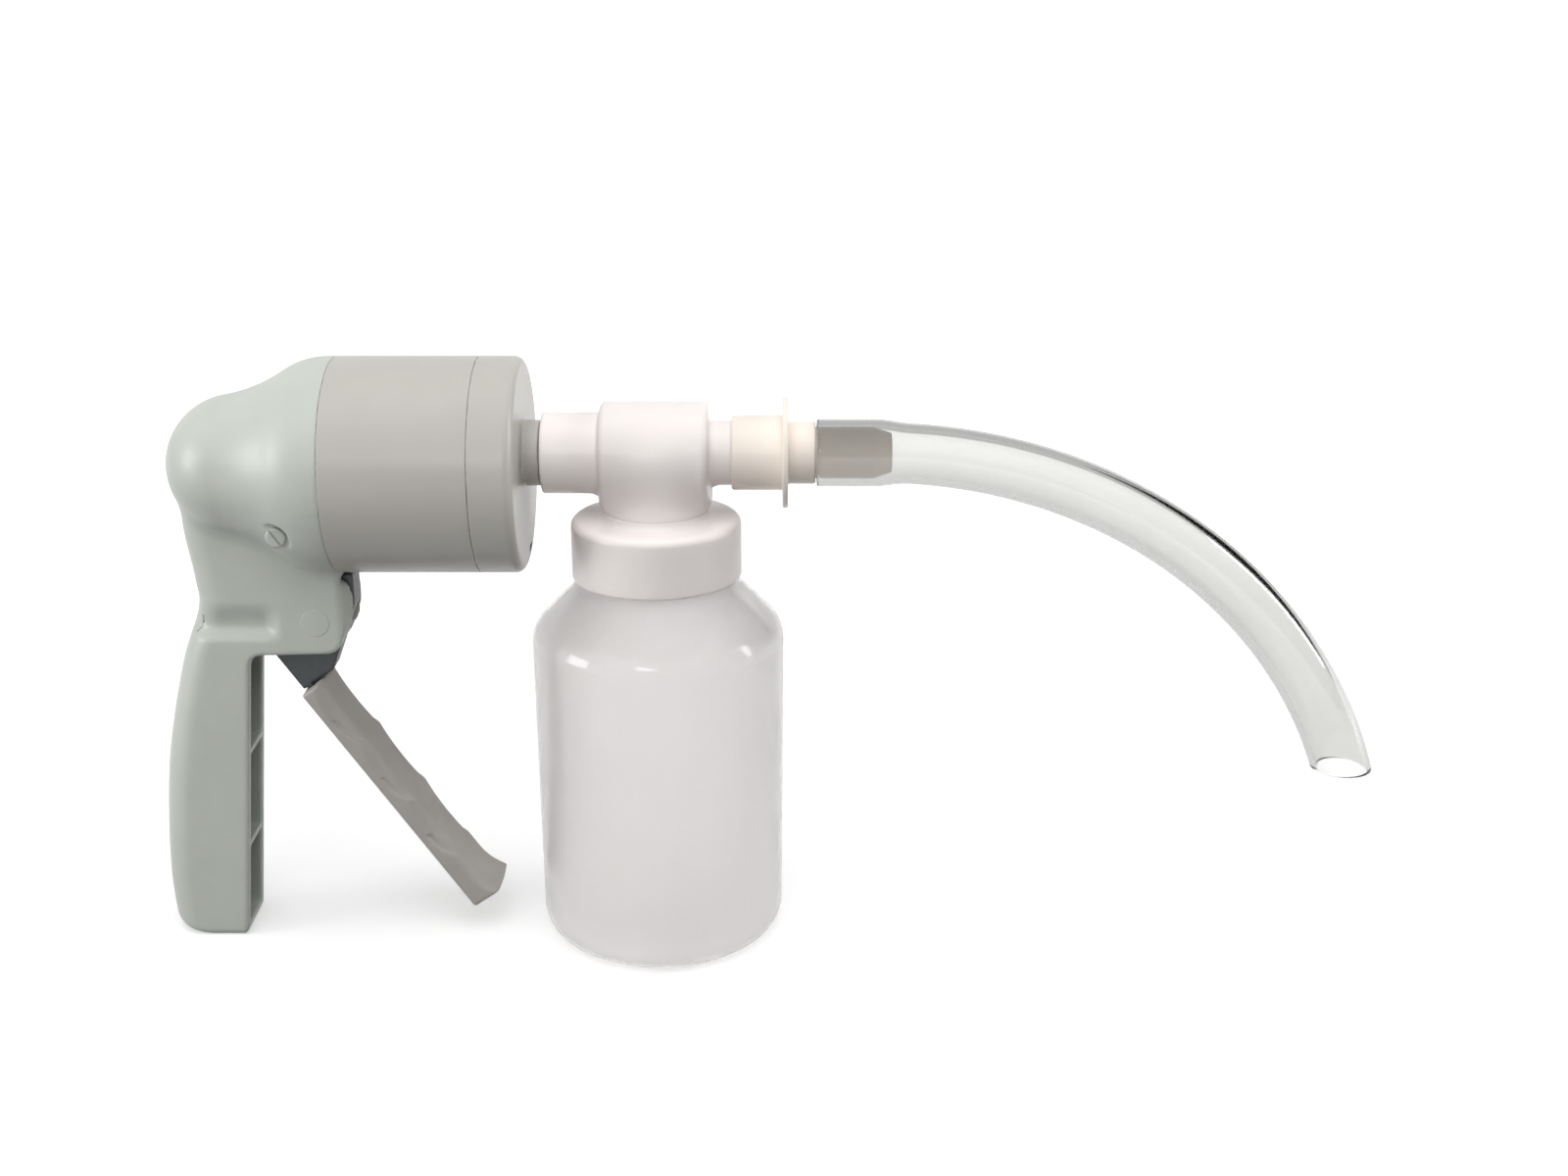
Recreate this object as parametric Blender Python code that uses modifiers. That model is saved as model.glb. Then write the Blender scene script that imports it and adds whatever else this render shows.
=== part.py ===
"""Hand-held manual suction pump with a collection bottle and a preformed suction catheter.

Frame: +X runs along the pump from the grip to the catheter, +Y across it, +Z up. The origin lies on
the surface that the bottle and the grip stand on, midway along the pump. All sizes are in metres.
"""

import math

import bmesh
import bpy
import numpy as np
from mathutils import Matrix, Vector

# Clearances
GAP = 0.0003
RUNNING_GAP = 0.0004

# Steps round a turned shape
STEPS_LARGE = 36
STEPS_MEDIUM = 24
STEPS_SMALL = 14
MERGE = 0.00001

# Main axes
AXIS_Z = 0.1275
SEAM_X = -0.107

# Barrel
BARREL_R = 0.027
BARREL_LENGTH = 0.0355
BARREL_WALL = 0.0035
BULKHEAD = 0.004
SPIGOT_WALL = 0.0017
FRONT_SPIGOT = 0.003
REAR_SPIGOT = 0.003
SEAM_CHAMFER = 0.0004

# Rear housing: dome, neck and grip
WALL = 0.0025
DOME_LAND = 0.002
DOME_SLOPE = math.radians(34)
NOSE_SLOPE = math.radians(10)
NOSE_STEP = 0.0092
NOSE_BEHIND_SEAM = 0.025
GRIP_HALF_WIDTH = 0.0088
GRIP_BACK_R = 0.0075
GRIP_EDGE = 0.0008
GRIP_FOOT_R = 0.005
GRIP_FOOT_EDGE = 0.002
GRIP_LEAN = math.radians(4.9)
GRIP_FRONT_BEHIND_SEAM = 0.0247
BACK_WALL = 0.003
CHANNEL_HALF_WIDTH = 0.006
CHANNEL_FLOOR = 0.003
WEB = 0.0016
WEB_DROPS = (0.0755, 0.102)
# The grip's back, as distance behind the seam and drop below the pump axis
GRIP_BACK = (
    (0.0392, 0.004),
    (0.0404, 0.014),
    (0.0385, 0.029),
    (0.0384, 0.037),
    (0.0440, 0.053),
    (0.0499, 0.0795),
    (0.0524, 0.109),
    (0.0515, 0.129),
)

# Cheeks and the thumb hollows behind them
CHEEK_BELOW_PIVOT = 0.009
CHEEK_FRONT = 0.0006
CHEEK_CORNER_R = 0.0045
CHEEK_INNER_R = 0.003
CHEEK_RISE = 0.0005
HOLLOW_DEPTH = 0.0016
HOLLOW_FLOOR_BELOW_PIVOT = 0.0041
HOLLOW_LEDGE = 0.0046
HOLLOW_HEIGHT = 0.0068
HOLLOW_FRONT_BEHIND_SEAM = 0.0155
HOLLOW_FADE = 0.005

# Screws in the dome's flanks and the barrel's tongues that they hold
SCREW_BEHIND_SEAM = 0.012
SCREW_TILT = math.radians(33.4)
SCREW_HEAD_R = 0.0026
SCREW_HEAD = 0.0013
SCREW_SHANK_R = 0.0011
SCREW_LENGTH = 0.0058
SCREW_SLOT = 0.0006
RECESS_BELOW_BARREL = 0.0051
RECESS_RIM = 0.0014
TONGUE = 0.0026
TONGUE_WIDTH = 0.008
TONGUE_BELOW_BARREL = 0.0114
TONGUE_PAST_SCREW = 0.003

# Lever
PIVOT_BEHIND_SEAM = 0.0073
PIVOT_BELOW_BARREL = 0.0121
PIVOT_R = 0.0029
LEVER_LEAN = math.radians(34.5)
LEVER_TRAVEL = math.radians(34)
HUB_WIDTH = 0.009
SLOT_SIDE_GAP = 0.0005
FORK_WIDTH = 0.006
FORK_HALF_DEPTH = 0.0052
FORK_PAST_PIN = 0.003
NOSE_REACH = 0.0094
NOSE_DEPTH = 0.0066
STOP_GAP = 0.0004
SHANK_LENGTH = 0.0134
SHANK_REAR = 0.0155
SHANK_FRONT = 0.0059
HUB_REAR = 0.009
TANG = 0.0018
TANG_INSET = 0.0012
TANG_LENGTH = 0.03
LEVER_GRIP_LENGTH = 0.0729
LEVER_GRIP_HALF_WIDTH = 0.0086
LEVER_GRIP_DEPTH = 0.0062
LEVER_CROWN = 0.0006
LEVER_CORNER = 0.0011
LEVER_SHOULDER = 0.0016
GROOVES = 3
GROOVE_PITCH = 0.0195
GROOVE_DEPTH = 0.0013
FIRST_RIDGE = 0.005
TIP_FLARE = 0.0028
TIP_FLARE_LENGTH = 0.0085
LEVER_STATIONS = 34

# Rod, piston and spring
ROD_R = 0.0065
ROD_PAST_PIN = 0.0055
ROD_SLOT_AHEAD = 0.0115
CROSS_PIN_R = 0.002
ARM_LEAN = math.radians(31.54)
BUSH_WALL = 0.0022
BUSH_FLANGE = 0.0015
BUSH_FLANGE_RIM = 0.0015
PISTON_THICKNESS = 0.0045
PISTON_GAP = 0.0004
SEAL_HEIGHT = 0.0016
SEAL_WIDTH = 0.0018
PISTON_SCREW_HEAD_R = 0.004
PISTON_SCREW_HEAD = 0.0016
PISTON_SCREW_R = 0.0017
PISTON_SCREW_LENGTH = 0.0105
SPRING_R = 0.015
SPRING_WIRE = 0.001
SPRING_TURNS = 6
SPRING_POINTS = 10

# Front cap, valve plate and valves
CAP_LENGTH = 0.0108
CAP_WALL = 0.002
CAP_EDGE_R = 0.0022
PLATE = 0.0018
GASKET = 0.001
VALVE_R = 0.0055
VALVE_LIP = 0.0009
VALVE_STEM_R = 0.0011
VALVE_BULB_R = 0.0016
VALVE_BULB = 0.0011
VALVE_HOLES = 4
VALVE_HOLE_R = 0.001
VALVE_HOLE_CIRCLE = 0.0034
EXHAUST_DROP = 0.0135
VENT_DROP = 0.0232
VENT_WIDTH = 0.006
VENT_HEIGHT = 0.0016
VENT_Y = 0.005

# Suction port
PORT_RISE = 0.003
PORT_BOSS_R = 0.0082
PORT_BOSS = 0.0043
PORT_R = 0.0072
PORT_BORE_R = 0.0045
PORT_LENGTH = 0.0106
PORT_CHAMFER = 0.0005
O_RING_R = 0.00065
O_RING_BACK = 0.0052

# Tee
LEFT_ARM_R = 0.01015
LEFT_ARM = 0.0144
BODY_R = 0.0128
BODY = 0.0269
BODY_EDGE_R = 0.0015
RIGHT_ARM_R = 0.00805
RIGHT_ARM = 0.0145
TRUNK_R = 0.01345
TEE_BORE_R = 0.0048
TRUNK_BORE_R = 0.0096
TRUNK_BORE_RISE = 0.0055
TEE_FLANGE = 0.002
BAFFLE = 0.0016
BAFFLE_BELOW_FLANGE = 0.007

# Collar and bottle
COLLAR_R = 0.0215
COLLAR_HEIGHT = 0.0153
COLLAR_DROP = 0.0135
COLLAR_TOP = 0.0022
COLLAR_WALL = 0.0019
COLLAR_EDGE_R = 0.002
COLLAR_HEM_R = 0.0006
BOTTLE_GASKET = 0.0015
LIP = 0.002
BOTTLE_R = 0.0322
BOTTLE_TAPER = 0.0006
BOTTLE_WALL = 0.0013
SHOULDER_HEIGHT = 0.0135
SHOULDER_R = 0.009
SHOULDER_ROOT_R = 0.0015
BASE_R = 0.008
PUSH_UP = 0.0015
PUSH_UP_R = 0.019

# Catheter connector and tube
SLEEVE_R = 0.0093
SLEEVE = 0.0127
SLEEVE_EDGE = 0.0008
SLEEVE_OFF_TEE = 0.0057
FLANGE_R = 0.0138
FLANGE = 0.0014
NIPPLE_R = 0.00775
NIPPLE = 0.0068
BARB_R = 0.0064
BARB = 0.0145
BARB_NOSE_R = 0.0049
BARB_NOSE = 0.0044
CONNECTOR_BORE_R = 0.0035
TUBE_R = 0.0076
TUBE_WALL = 0.0015
TUBE_STRETCH = 0.0008
TUBE_SIDES = 4
TUBE_POINTS = 26
TUBE_STRAIGHT = 0.015
TUBE_LENGTH = 0.2
TUBE_BEND_R = 0.142
TUBE_TIP_BEND_R = 0.113
TIP_DROP = 0.0825

# Places worked out from the sizes above
BORE_R = BARREL_R - BARREL_WALL
NOSE_R = BARREL_R - NOSE_STEP
RECESS_FLOOR_R = BARREL_R - RECESS_BELOW_BARREL
TONGUE_R = BARREL_R - TONGUE_BELOW_BARREL
CAP_SEAM_X = SEAM_X + BARREL_LENGTH
CAP_FRONT_X = CAP_SEAM_X + CAP_LENGTH
CAP_BORE_R = BORE_R + SPIGOT_WALL + GAP
PLATE_REAR_X = CAP_SEAM_X + FRONT_SPIGOT + GASKET + 2 * GAP
PIVOT_X = SEAM_X - PIVOT_BEHIND_SEAM
PIVOT_DROP = BARREL_R + PIVOT_BELOW_BARREL
PIVOT_Z = AXIS_Z - PIVOT_DROP
STROKE = PIVOT_DROP * math.tan(ARM_LEAN)
PIN_X = PIVOT_X - STROKE
PISTON_REAR_X = SEAM_X + BULKHEAD + PISTON_GAP
PISTON_FRONT_X = PISTON_REAR_X + PISTON_THICKNESS
CHEEK_DROP = PIVOT_DROP + CHEEK_BELOW_PIVOT
NECK_SLOT = HUB_WIDTH + 2 * SLOT_SIDE_GAP
PORT_Z = AXIS_Z + PORT_RISE
TEE_X = CAP_FRONT_X + PORT_BOSS + GAP
BODY_X = TEE_X + LEFT_ARM
TRUNK_X = BODY_X + BODY / 2
RIGHT_ARM_X = BODY_X + BODY
COLLAR_Z = AXIS_Z - COLLAR_DROP
TEE_FLANGE_Z = COLLAR_Z - COLLAR_TOP - GAP
TEE_MOUTH_Z = TEE_FLANGE_Z - TEE_FLANGE
LIP_Z = TEE_MOUTH_Z - BOTTLE_GASKET - 2 * GAP
COLLAR_BORE_R = COLLAR_R - COLLAR_WALL
NECK_R = COLLAR_BORE_R - RUNNING_GAP
SLEEVE_X = RIGHT_ARM_X + SLEEVE_OFF_TEE
FLANGE_X = SLEEVE_X + SLEEVE
TUBE_X = FLANGE_X + FLANGE + NIPPLE + GAP
TIP_Z = AXIS_Z - TIP_DROP


def clear_scene():
    """Empties the scene of objects."""
    for obj in list(bpy.data.objects):
        bpy.data.objects.remove(obj, do_unlink=True)


def new_collection(name):
    """Returns a new collection linked to the scene."""
    collection = bpy.data.collections.new(name)
    bpy.context.scene.collection.children.link(collection)
    return collection


clear_scene()
PARTS = new_collection("suction_pump")
CUTTERS = new_collection("cutters")


def material(name, colour, roughness, metallic=0.0, alpha=1.0):
    """Returns a Principled material, with colour in linear RGB."""
    made = bpy.data.materials.new(name)
    made.use_nodes = True
    shader = made.node_tree.nodes["Principled BSDF"]
    shader.inputs["Base Color"].default_value = (*colour, 1.0)
    shader.inputs["Roughness"].default_value = roughness
    shader.inputs["Metallic"].default_value = metallic
    shader.inputs["Alpha"].default_value = alpha
    return made


HOUSING_GREY = material("housing_abs", (0.37, 0.40, 0.37), 0.45)
BARREL_GREY = material("barrel_abs", (0.42, 0.40, 0.37), 0.45)
LEVER_BLACK = material("lever_nylon", (0.035, 0.040, 0.042), 0.5)
LEVER_GREY = material("lever_grip_elastomer", (0.31, 0.29, 0.27), 0.6)
WHITE = material("tee_polypropylene", (0.86, 0.81, 0.79), 0.35)
MILKY = material("bottle_polyethylene", (0.80, 0.80, 0.80), 0.4, alpha=0.75)
IVORY = material("connector_pvc", (0.82, 0.79, 0.74), 0.35)
CLEAR = material("tube_clear_pvc", (0.85, 0.87, 0.87), 0.1, alpha=0.3)
BLACK_RUBBER = material("seal_rubber", (0.02, 0.02, 0.02), 0.7)
VALVE_RUBBER = material("valve_silicone", (0.55, 0.30, 0.25), 0.6)
ACETAL = material("inner_acetal", (0.75, 0.75, 0.72), 0.4)
STEEL = material("steel", (0.55, 0.55, 0.56), 0.3, 1.0)


def add_object(name, mesh, look=None):
    """Links a new part, or a cutter where no material is given."""
    obj = bpy.data.objects.new(name, mesh)
    if look is None:
        CUTTERS.objects.link(obj)
        obj.hide_render = True
        obj.display_type = "WIRE"
    else:
        PARTS.objects.link(obj)
        mesh.materials.append(look)
    return obj


def carry(name, place, *objects):
    """Puts an empty on a joint's axis and hangs the moving pieces on it where they are."""
    empty = bpy.data.objects.new(name, None)
    PARTS.objects.link(empty)
    empty.location = place
    for obj in objects:
        obj.parent = empty
        obj.matrix_parent_inverse = Matrix.Translation(place).inverted()


def turned(name, profile, look=None, axis="X", at=(0, 0), steps=STEPS_LARGE):
    """Turns a profile of (radius, height) points about a line along X or Z.

    The profile runs down its outer side. One that starts and ends on the axis is solid, and any other
    is closed into a ring. For axis X, at is the line's (y, z); for axis Z, it is the line's (x, y).
    """
    solid = profile[0][0] == 0 and profile[-1][0] == 0
    count = len(profile)
    edges = [(i, i + 1) for i in range(count - 1)]
    if not solid:
        edges.append((count - 1, 0))
    mesh = bpy.data.meshes.new(name)
    mesh.from_pydata([(r, 0, h) for r, h in profile], edges, [])
    obj = add_object(name, mesh, look)
    screw = obj.modifiers.new("turn", "SCREW")
    screw.steps = steps
    screw.render_steps = steps
    screw.use_merge_vertices = True
    screw.merge_threshold = MERGE
    if axis == "X":
        obj.rotation_euler = (0, math.pi / 2, 0)
        obj.location = (0, *at)
    else:
        obj.location = (*at, 0)
    return obj


def boolean(obj, other, operation="DIFFERENCE"):
    """Cuts the other object from this one, or joins it on."""
    step = obj.modifiers.new(other.name, "BOOLEAN")
    step.operation = operation
    step.solver = "EXACT"
    step.object = other


def block(name, low, high, look=None):
    """Returns a box between two corners."""
    low, high = Vector(low), Vector(high)
    mesh = bpy.data.meshes.new(name)
    shape = bmesh.new()
    bmesh.ops.create_cube(shape, size=1)
    size = Matrix.Diagonal((*(high - low), 1))
    bmesh.ops.transform(shape, matrix=Matrix.Translation((low + high) / 2) @ size, verts=shape.verts)
    shape.to_mesh(mesh)
    shape.free()
    return add_object(name, mesh, look)


def rods(name, ends, radius, steps=STEPS_SMALL):
    """Returns one cutter made of round rods between pairs of end points."""
    mesh = bpy.data.meshes.new(name)
    shape = bmesh.new()
    for start, end in ends:
        start, end = Vector(start), Vector(end)
        run = end - start
        turn = run.to_track_quat("Z", "Y").to_matrix().to_4x4()
        bmesh.ops.create_cone(
            shape,
            cap_ends=True,
            segments=steps,
            radius1=radius,
            radius2=radius,
            depth=run.length,
            matrix=Matrix.Translation((start + end) / 2) @ turn,
        )
    shape.to_mesh(mesh)
    shape.free()
    return add_object(name, mesh)


def arc(centre, radius, start, end, steps):
    """Points along an arc, with both ends."""
    return [
        (centre[0] + radius * math.cos(a), centre[1] + radius * math.sin(a))
        for a in np.linspace(start, end, steps + 1)
    ]


def rounded(corners, steps=3, closed=True):
    """Points of an outline through (x, y, radius) corners, with an arc at each corner that has a radius."""
    points = []
    count = len(corners)
    for i, (x, y, radius) in enumerate(corners):
        ends = not closed and i in (0, count - 1)
        if radius == 0 or ends:
            points.append((x, y))
            continue
        corner = Vector((x, y))
        before = (Vector(corners[i - 1][:2]) - corner).normalized()
        after = (Vector(corners[(i + 1) % count][:2]) - corner).normalized()
        half = before.angle(after) / 2
        centre = corner + (before + after).normalized() * (radius / math.sin(half))
        first = corner + before * (radius / math.tan(half)) - centre
        last = corner + after * (radius / math.tan(half)) - centre
        start = math.atan2(first.y, first.x)
        sweep = (math.atan2(last.y, last.x) - start + math.pi) % (2 * math.pi) - math.pi
        points += arc(centre, radius, start, start + sweep, steps)
    return points


def smooth(points, steps=8):
    """Points of a smooth curve through the given points, in two or three dimensions."""
    p = np.array(points, float)
    p = np.vstack([2 * p[0] - p[1], p, 2 * p[-1] - p[-2]])
    t = np.arange(steps)[:, None] / steps
    runs = [
        0.5
        * (
            2 * b
            + (c - a) * t
            + (2 * a - 5 * b + 4 * c - d) * t**2
            + (3 * b - a - 3 * c + d) * t**3
        )
        for a, b, c, d in zip(p[:-3], p[1:-2], p[2:-1], p[3:])
    ]
    return np.vstack([*runs, p[-2:-1]])


def mesh_of(guide, name):
    """Turns a curve object into a welded mesh and removes the curve."""
    bpy.context.view_layer.update()
    graph = bpy.context.evaluated_depsgraph_get()
    mesh = bpy.data.meshes.new_from_object(guide.evaluated_get(graph))
    mesh.name = name
    mesh.materials.clear()
    bpy.data.objects.remove(guide, do_unlink=True)
    shape = bmesh.new()
    shape.from_mesh(mesh)
    bmesh.ops.remove_doubles(shape, verts=shape.verts, dist=MERGE)
    bmesh.ops.recalc_face_normals(shape, faces=shape.faces)
    shape.to_mesh(mesh)
    shape.free()
    return mesh


def plate(name, outline, thickness, look=None):
    """Returns a plate with an outline of (x, z) points, centred on the plane y = 0."""
    curve = bpy.data.curves.new(name, "CURVE")
    curve.dimensions = "2D"
    curve.fill_mode = "BOTH"
    curve.extrude = thickness / 2
    spline = curve.splines.new("POLY")
    spline.points.add(len(outline) - 1)
    for point, (x, z) in zip(spline.points, outline):
        point.co = (x, z, 0, 1)
    spline.use_cyclic_u = True
    guide = bpy.data.objects.new(name, curve)
    CUTTERS.objects.link(guide)
    mesh = mesh_of(guide, name)
    mesh.transform(Matrix.Rotation(math.pi / 2, 4, "X"))
    return add_object(name, mesh, look)


def tube(name, points, radii, look=None, sides=TUBE_SIDES):
    """Returns a round bar along points, with a radius at each, as a mesh."""
    curve = bpy.data.curves.new(name, "CURVE")
    curve.dimensions = "3D"
    curve.bevel_depth = 1
    curve.bevel_resolution = sides
    curve.use_fill_caps = True
    spline = curve.splines.new("POLY")
    spline.points.add(len(points) - 1)
    for point, place, radius in zip(spline.points, points, radii):
        point.co = (*place, 1)
        point.radius = radius
    guide = bpy.data.objects.new(name, curve)
    CUTTERS.objects.link(guide)
    return add_object(name, mesh_of(guide, name), look)


def loft(name, rings, look=None):
    """Joins rings of as many points each into one closed skin with flat ends."""
    rings = np.asarray(rings)
    count, around = rings.shape[:2]
    mesh = bpy.data.meshes.new(name)
    faces = [
        (i * around + j, i * around + (j + 1) % around, (i + 1) * around + (j + 1) % around, (i + 1) * around + j)
        for i in range(count - 1)
        for j in range(around)
    ]
    faces.append(tuple(range(around))[::-1])
    faces.append(tuple(range((count - 1) * around, count * around)))
    mesh.from_pydata(rings.reshape(-1, 3).tolist(), [], faces)
    shape = bmesh.new()
    shape.from_mesh(mesh)
    bmesh.ops.recalc_face_normals(shape, faces=shape.faces)
    shape.to_mesh(mesh)
    shape.free()
    return add_object(name, mesh, look)


def step_up(t):
    """Eases from 0 to 1 as t runs from 0 to 1."""
    t = np.clip(t, 0, 1)
    return t * t * (3 - 2 * t)


def dome_profile(inset=0.0, steps=4, nose_steps=6):
    """Points (radius, x) of the dome from its mouth to its pole, moved inwards by inset.

    A convex shoulder arc leaves the mouth's land level and a hollow waist arc carries on to the round
    nose. Both radii follow from the slopes where the arcs meet: their runs and falls have to add up to
    the distance between the land and the nose.
    """
    run = NOSE_BEHIND_SEAM + NOSE_R * math.sin(NOSE_SLOPE) - DOME_LAND
    fall = BARREL_R - NOSE_R * math.cos(NOSE_SLOPE)
    rises = np.array(
        [
            [math.sin(DOME_SLOPE), math.sin(DOME_SLOPE) - math.sin(NOSE_SLOPE)],
            [1 - math.cos(DOME_SLOPE), math.cos(NOSE_SLOPE) - math.cos(DOME_SLOPE)],
        ]
    )
    shoulder, waist = np.linalg.solve(rises, [run, fall])
    points = [(BARREL_R - inset, 0.0)]
    for a in np.linspace(0, DOME_SLOPE, steps + 1):
        x = -DOME_LAND - shoulder * math.sin(a)
        r = BARREL_R - shoulder * (1 - math.cos(a))
        points.append((r - inset * math.cos(a), x + inset * math.sin(a)))
    bend_x = -DOME_LAND - shoulder * math.sin(DOME_SLOPE)
    bend_r = BARREL_R - shoulder * (1 - math.cos(DOME_SLOPE))
    for a in np.linspace(DOME_SLOPE, NOSE_SLOPE, steps + 1)[1:]:
        x = bend_x - waist * (math.sin(DOME_SLOPE) - math.sin(a))
        r = bend_r - waist * (math.cos(a) - math.cos(DOME_SLOPE))
        points.append((r - inset * math.cos(a), x + inset * math.sin(a)))
    for a in np.linspace(NOSE_SLOPE, math.pi / 2, nose_steps + 1)[1:-1]:
        radius = NOSE_R - inset
        points.append((radius * math.cos(a), -NOSE_BEHIND_SEAM - radius * math.sin(a)))
    points.append((0.0, -NOSE_BEHIND_SEAM - NOSE_R + inset))
    return [(r, SEAM_X + x) for r, x in points]


def grip_back_x(z):
    """X of the grip's back at height z, rounded off above the foot."""
    curve = smooth(GRIP_BACK)
    drop = AXIS_Z - z
    x = SEAM_X - np.interp(drop, curve[:, 1], curve[:, 0])
    below = np.clip(GRIP_FOOT_R - z, 0, GRIP_FOOT_R)
    return x + GRIP_FOOT_R - np.sqrt(GRIP_FOOT_R**2 - below**2)


def neck_front():
    """Points (x, z) up the front of the grip and the cheeks."""
    cheek_z = AXIS_Z - CHEEK_DROP
    grip_x = SEAM_X - GRIP_FRONT_BEHIND_SEAM
    foot_x = grip_x - cheek_z * math.tan(GRIP_LEAN)
    corners = [
        (foot_x, 0.0, 0),
        (grip_x, cheek_z, CHEEK_INNER_R),
        (SEAM_X - CHEEK_FRONT, cheek_z + CHEEK_RISE, CHEEK_CORNER_R),
        (SEAM_X - CHEEK_FRONT, AXIS_Z, 0),
    ]
    return np.array(rounded(corners, closed=False))


def side_width(x, z):
    """Half width of the neck and grip, drawn in at the thumb hollows."""
    floor_z = PIVOT_Z - HOLLOW_FLOOR_BELOW_PIVOT
    deep_z = floor_z + HOLLOW_LEDGE
    rise = step_up((z - floor_z) / HOLLOW_LEDGE)
    fade_up = 1 - step_up((z - deep_z) / HOLLOW_HEIGHT)
    ahead = x - (SEAM_X - HOLLOW_FRONT_BEHIND_SEAM - HOLLOW_FADE)
    fade_front = 1 - step_up(ahead / HOLLOW_FADE)
    return GRIP_HALF_WIDTH - HOLLOW_DEPTH * rise * fade_up * fade_front


def neck_ring(z, front_x, foot_inset):
    """Points of one level section of the neck or grip, from the back round to the front."""
    back_x = grip_back_x(z) + foot_inset
    front_x = front_x - foot_inset
    round_x = back_x + GRIP_BACK_R
    side_x = np.linspace(round_x, front_x - GRIP_EDGE, 7)
    angles = np.linspace(0, math.pi / 2, 5)[:-1]
    corner = side_width(round_x, z) - foot_inset
    half = [(round_x - GRIP_BACK_R * math.cos(a), corner * math.sin(a)) for a in angles]
    half += [(x, side_width(x, z) - foot_inset) for x in side_x]
    half.append((front_x, side_width(front_x, z) - foot_inset - GRIP_EDGE))
    other = [(x, -y) for x, y in half[:0:-1]]
    return [(x, y, z) for x, y in half + other]


def grip_body():
    """The solid outside of the neck, cheeks and grip, lofted through level sections."""
    front = neck_front()
    top_z = AXIS_Z - GRIP_BACK[0][1]
    foot = [0.0, GRIP_FOOT_EDGE, GRIP_FOOT_R / 2, GRIP_FOOT_R]
    grip = list(np.linspace(GRIP_FOOT_R, front[1][1], 8)[1:-1])
    neck = list(np.linspace(front[-2][1], top_z, 14)[1:])
    levels = [(z, np.interp(z, front[:2, 1], front[:2, 0])) for z in foot + grip]
    levels += [(z, x) for x, z in front[1:-1]]
    levels += [(z, front[-1][0]) for z in neck]
    rings = []
    for z, x in levels:
        inset = GRIP_FOOT_EDGE * max(0.0, 1 - z / GRIP_FOOT_EDGE)
        rings.append(neck_ring(z, x, inset))
    return loft("neck_and_grip", rings)


def channel_outline(low_z, high_z, front_x):
    """Outline of the space inside the neck or grip between two heights, behind front_x."""
    levels = np.linspace(low_z, high_z, 6)
    back = [(grip_back_x(z) + BACK_WALL, z) for z in levels]
    return back + [(front_x, high_z), (front_x, low_z)]


def rear_housing():
    """Dome, neck and grip in one hollow moulding that is open to the front."""
    housing = turned("rear_housing", [(0.0, SEAM_X), *dome_profile()], HOUSING_GREY, at=(0, AXIS_Z))
    boolean(housing, grip_body(), "UNION")
    past_mouth = SEAM_X + WALL
    cavity = [(0.0, past_mouth), (BARREL_R - WALL, past_mouth), *dome_profile(WALL)]
    boolean(housing, turned("dome_cavity", cavity, at=(0, AXIS_Z)))
    cheek_z = AXIS_Z - CHEEK_DROP
    slot = channel_outline(cheek_z - WALL, AXIS_Z, past_mouth)
    boolean(housing, plate("neck_slot", slot, NECK_SLOT))
    edges = [CHANNEL_FLOOR]
    for drop in reversed(WEB_DROPS):
        edges += [AXIS_Z - drop - WEB / 2, AXIS_Z - drop + WEB / 2]
    edges.append(cheek_z - WEB)
    for low_z, high_z in zip(edges[::2], edges[1::2]):
        cell = channel_outline(low_z, high_z, SEAM_X - GRIP_FRONT_BEHIND_SEAM + WALL)
        boolean(housing, plate("grip_cell", cell, 2 * CHANNEL_HALF_WIDTH))
    reach = GRIP_HALF_WIDTH + WALL
    hole = rods(
        "pivot_holes",
        [((PIVOT_X, -reach, PIVOT_Z), (PIVOT_X, reach, PIVOT_Z))],
        PIVOT_R + GAP,
        STEPS_MEDIUM,
    )
    boolean(housing, hole)
    recess = [(screw_point(s, RECESS_FLOOR_R), screw_point(s, BARREL_R)) for s in (-1, 1)]
    boolean(housing, rods("screw_recesses", recess, SCREW_HEAD_R + RECESS_RIM))
    through = [(screw_point(s, TONGUE_R), screw_point(s, BARREL_R)) for s in (-1, 1)]
    boolean(housing, rods("screw_holes", through, SCREW_SHANK_R + GAP))


def screw_point(side, radius):
    """Point on a flank screw's line at a distance from the pump axis."""
    y = side * radius * math.cos(SCREW_TILT)
    z = AXIS_Z - radius * math.sin(SCREW_TILT)
    return Vector((SEAM_X - SCREW_BEHIND_SEAM, y, z))


def housing_screws():
    """Two slotted pan-head screws that hold the barrel's tongues inside the dome."""
    seat = RECESS_FLOOR_R + GAP
    profile = [
        (0.0, SCREW_HEAD),
        (SCREW_HEAD_R * 0.7, SCREW_HEAD),
        (SCREW_HEAD_R, SCREW_HEAD / 2),
        (SCREW_HEAD_R, 0.0),
        (SCREW_SHANK_R, 0.0),
        (SCREW_SHANK_R, -SCREW_LENGTH),
        (0.0, -SCREW_LENGTH),
    ]
    for side, word in ((-1, "left"), (1, "right")):
        screw = turned(f"housing_screw_{word}", profile, STEEL, axis="Z", steps=STEPS_SMALL)
        outward = screw_point(side, 1) - screw_point(side, 0)
        screw.rotation_euler = outward.to_track_quat("Z", "Y").to_euler()
        screw.location = screw_point(side, seat)
        low = (-SCREW_HEAD_R, -SCREW_SLOT / 2, SCREW_HEAD - SCREW_SLOT)
        high = (SCREW_HEAD_R, SCREW_SLOT / 2, SCREW_HEAD + SCREW_SLOT)
        slot = block(f"screw_slot_{word}", low, high)
        slot.rotation_euler = screw.rotation_euler
        slot.location = screw.location
        boolean(screw, slot)


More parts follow.
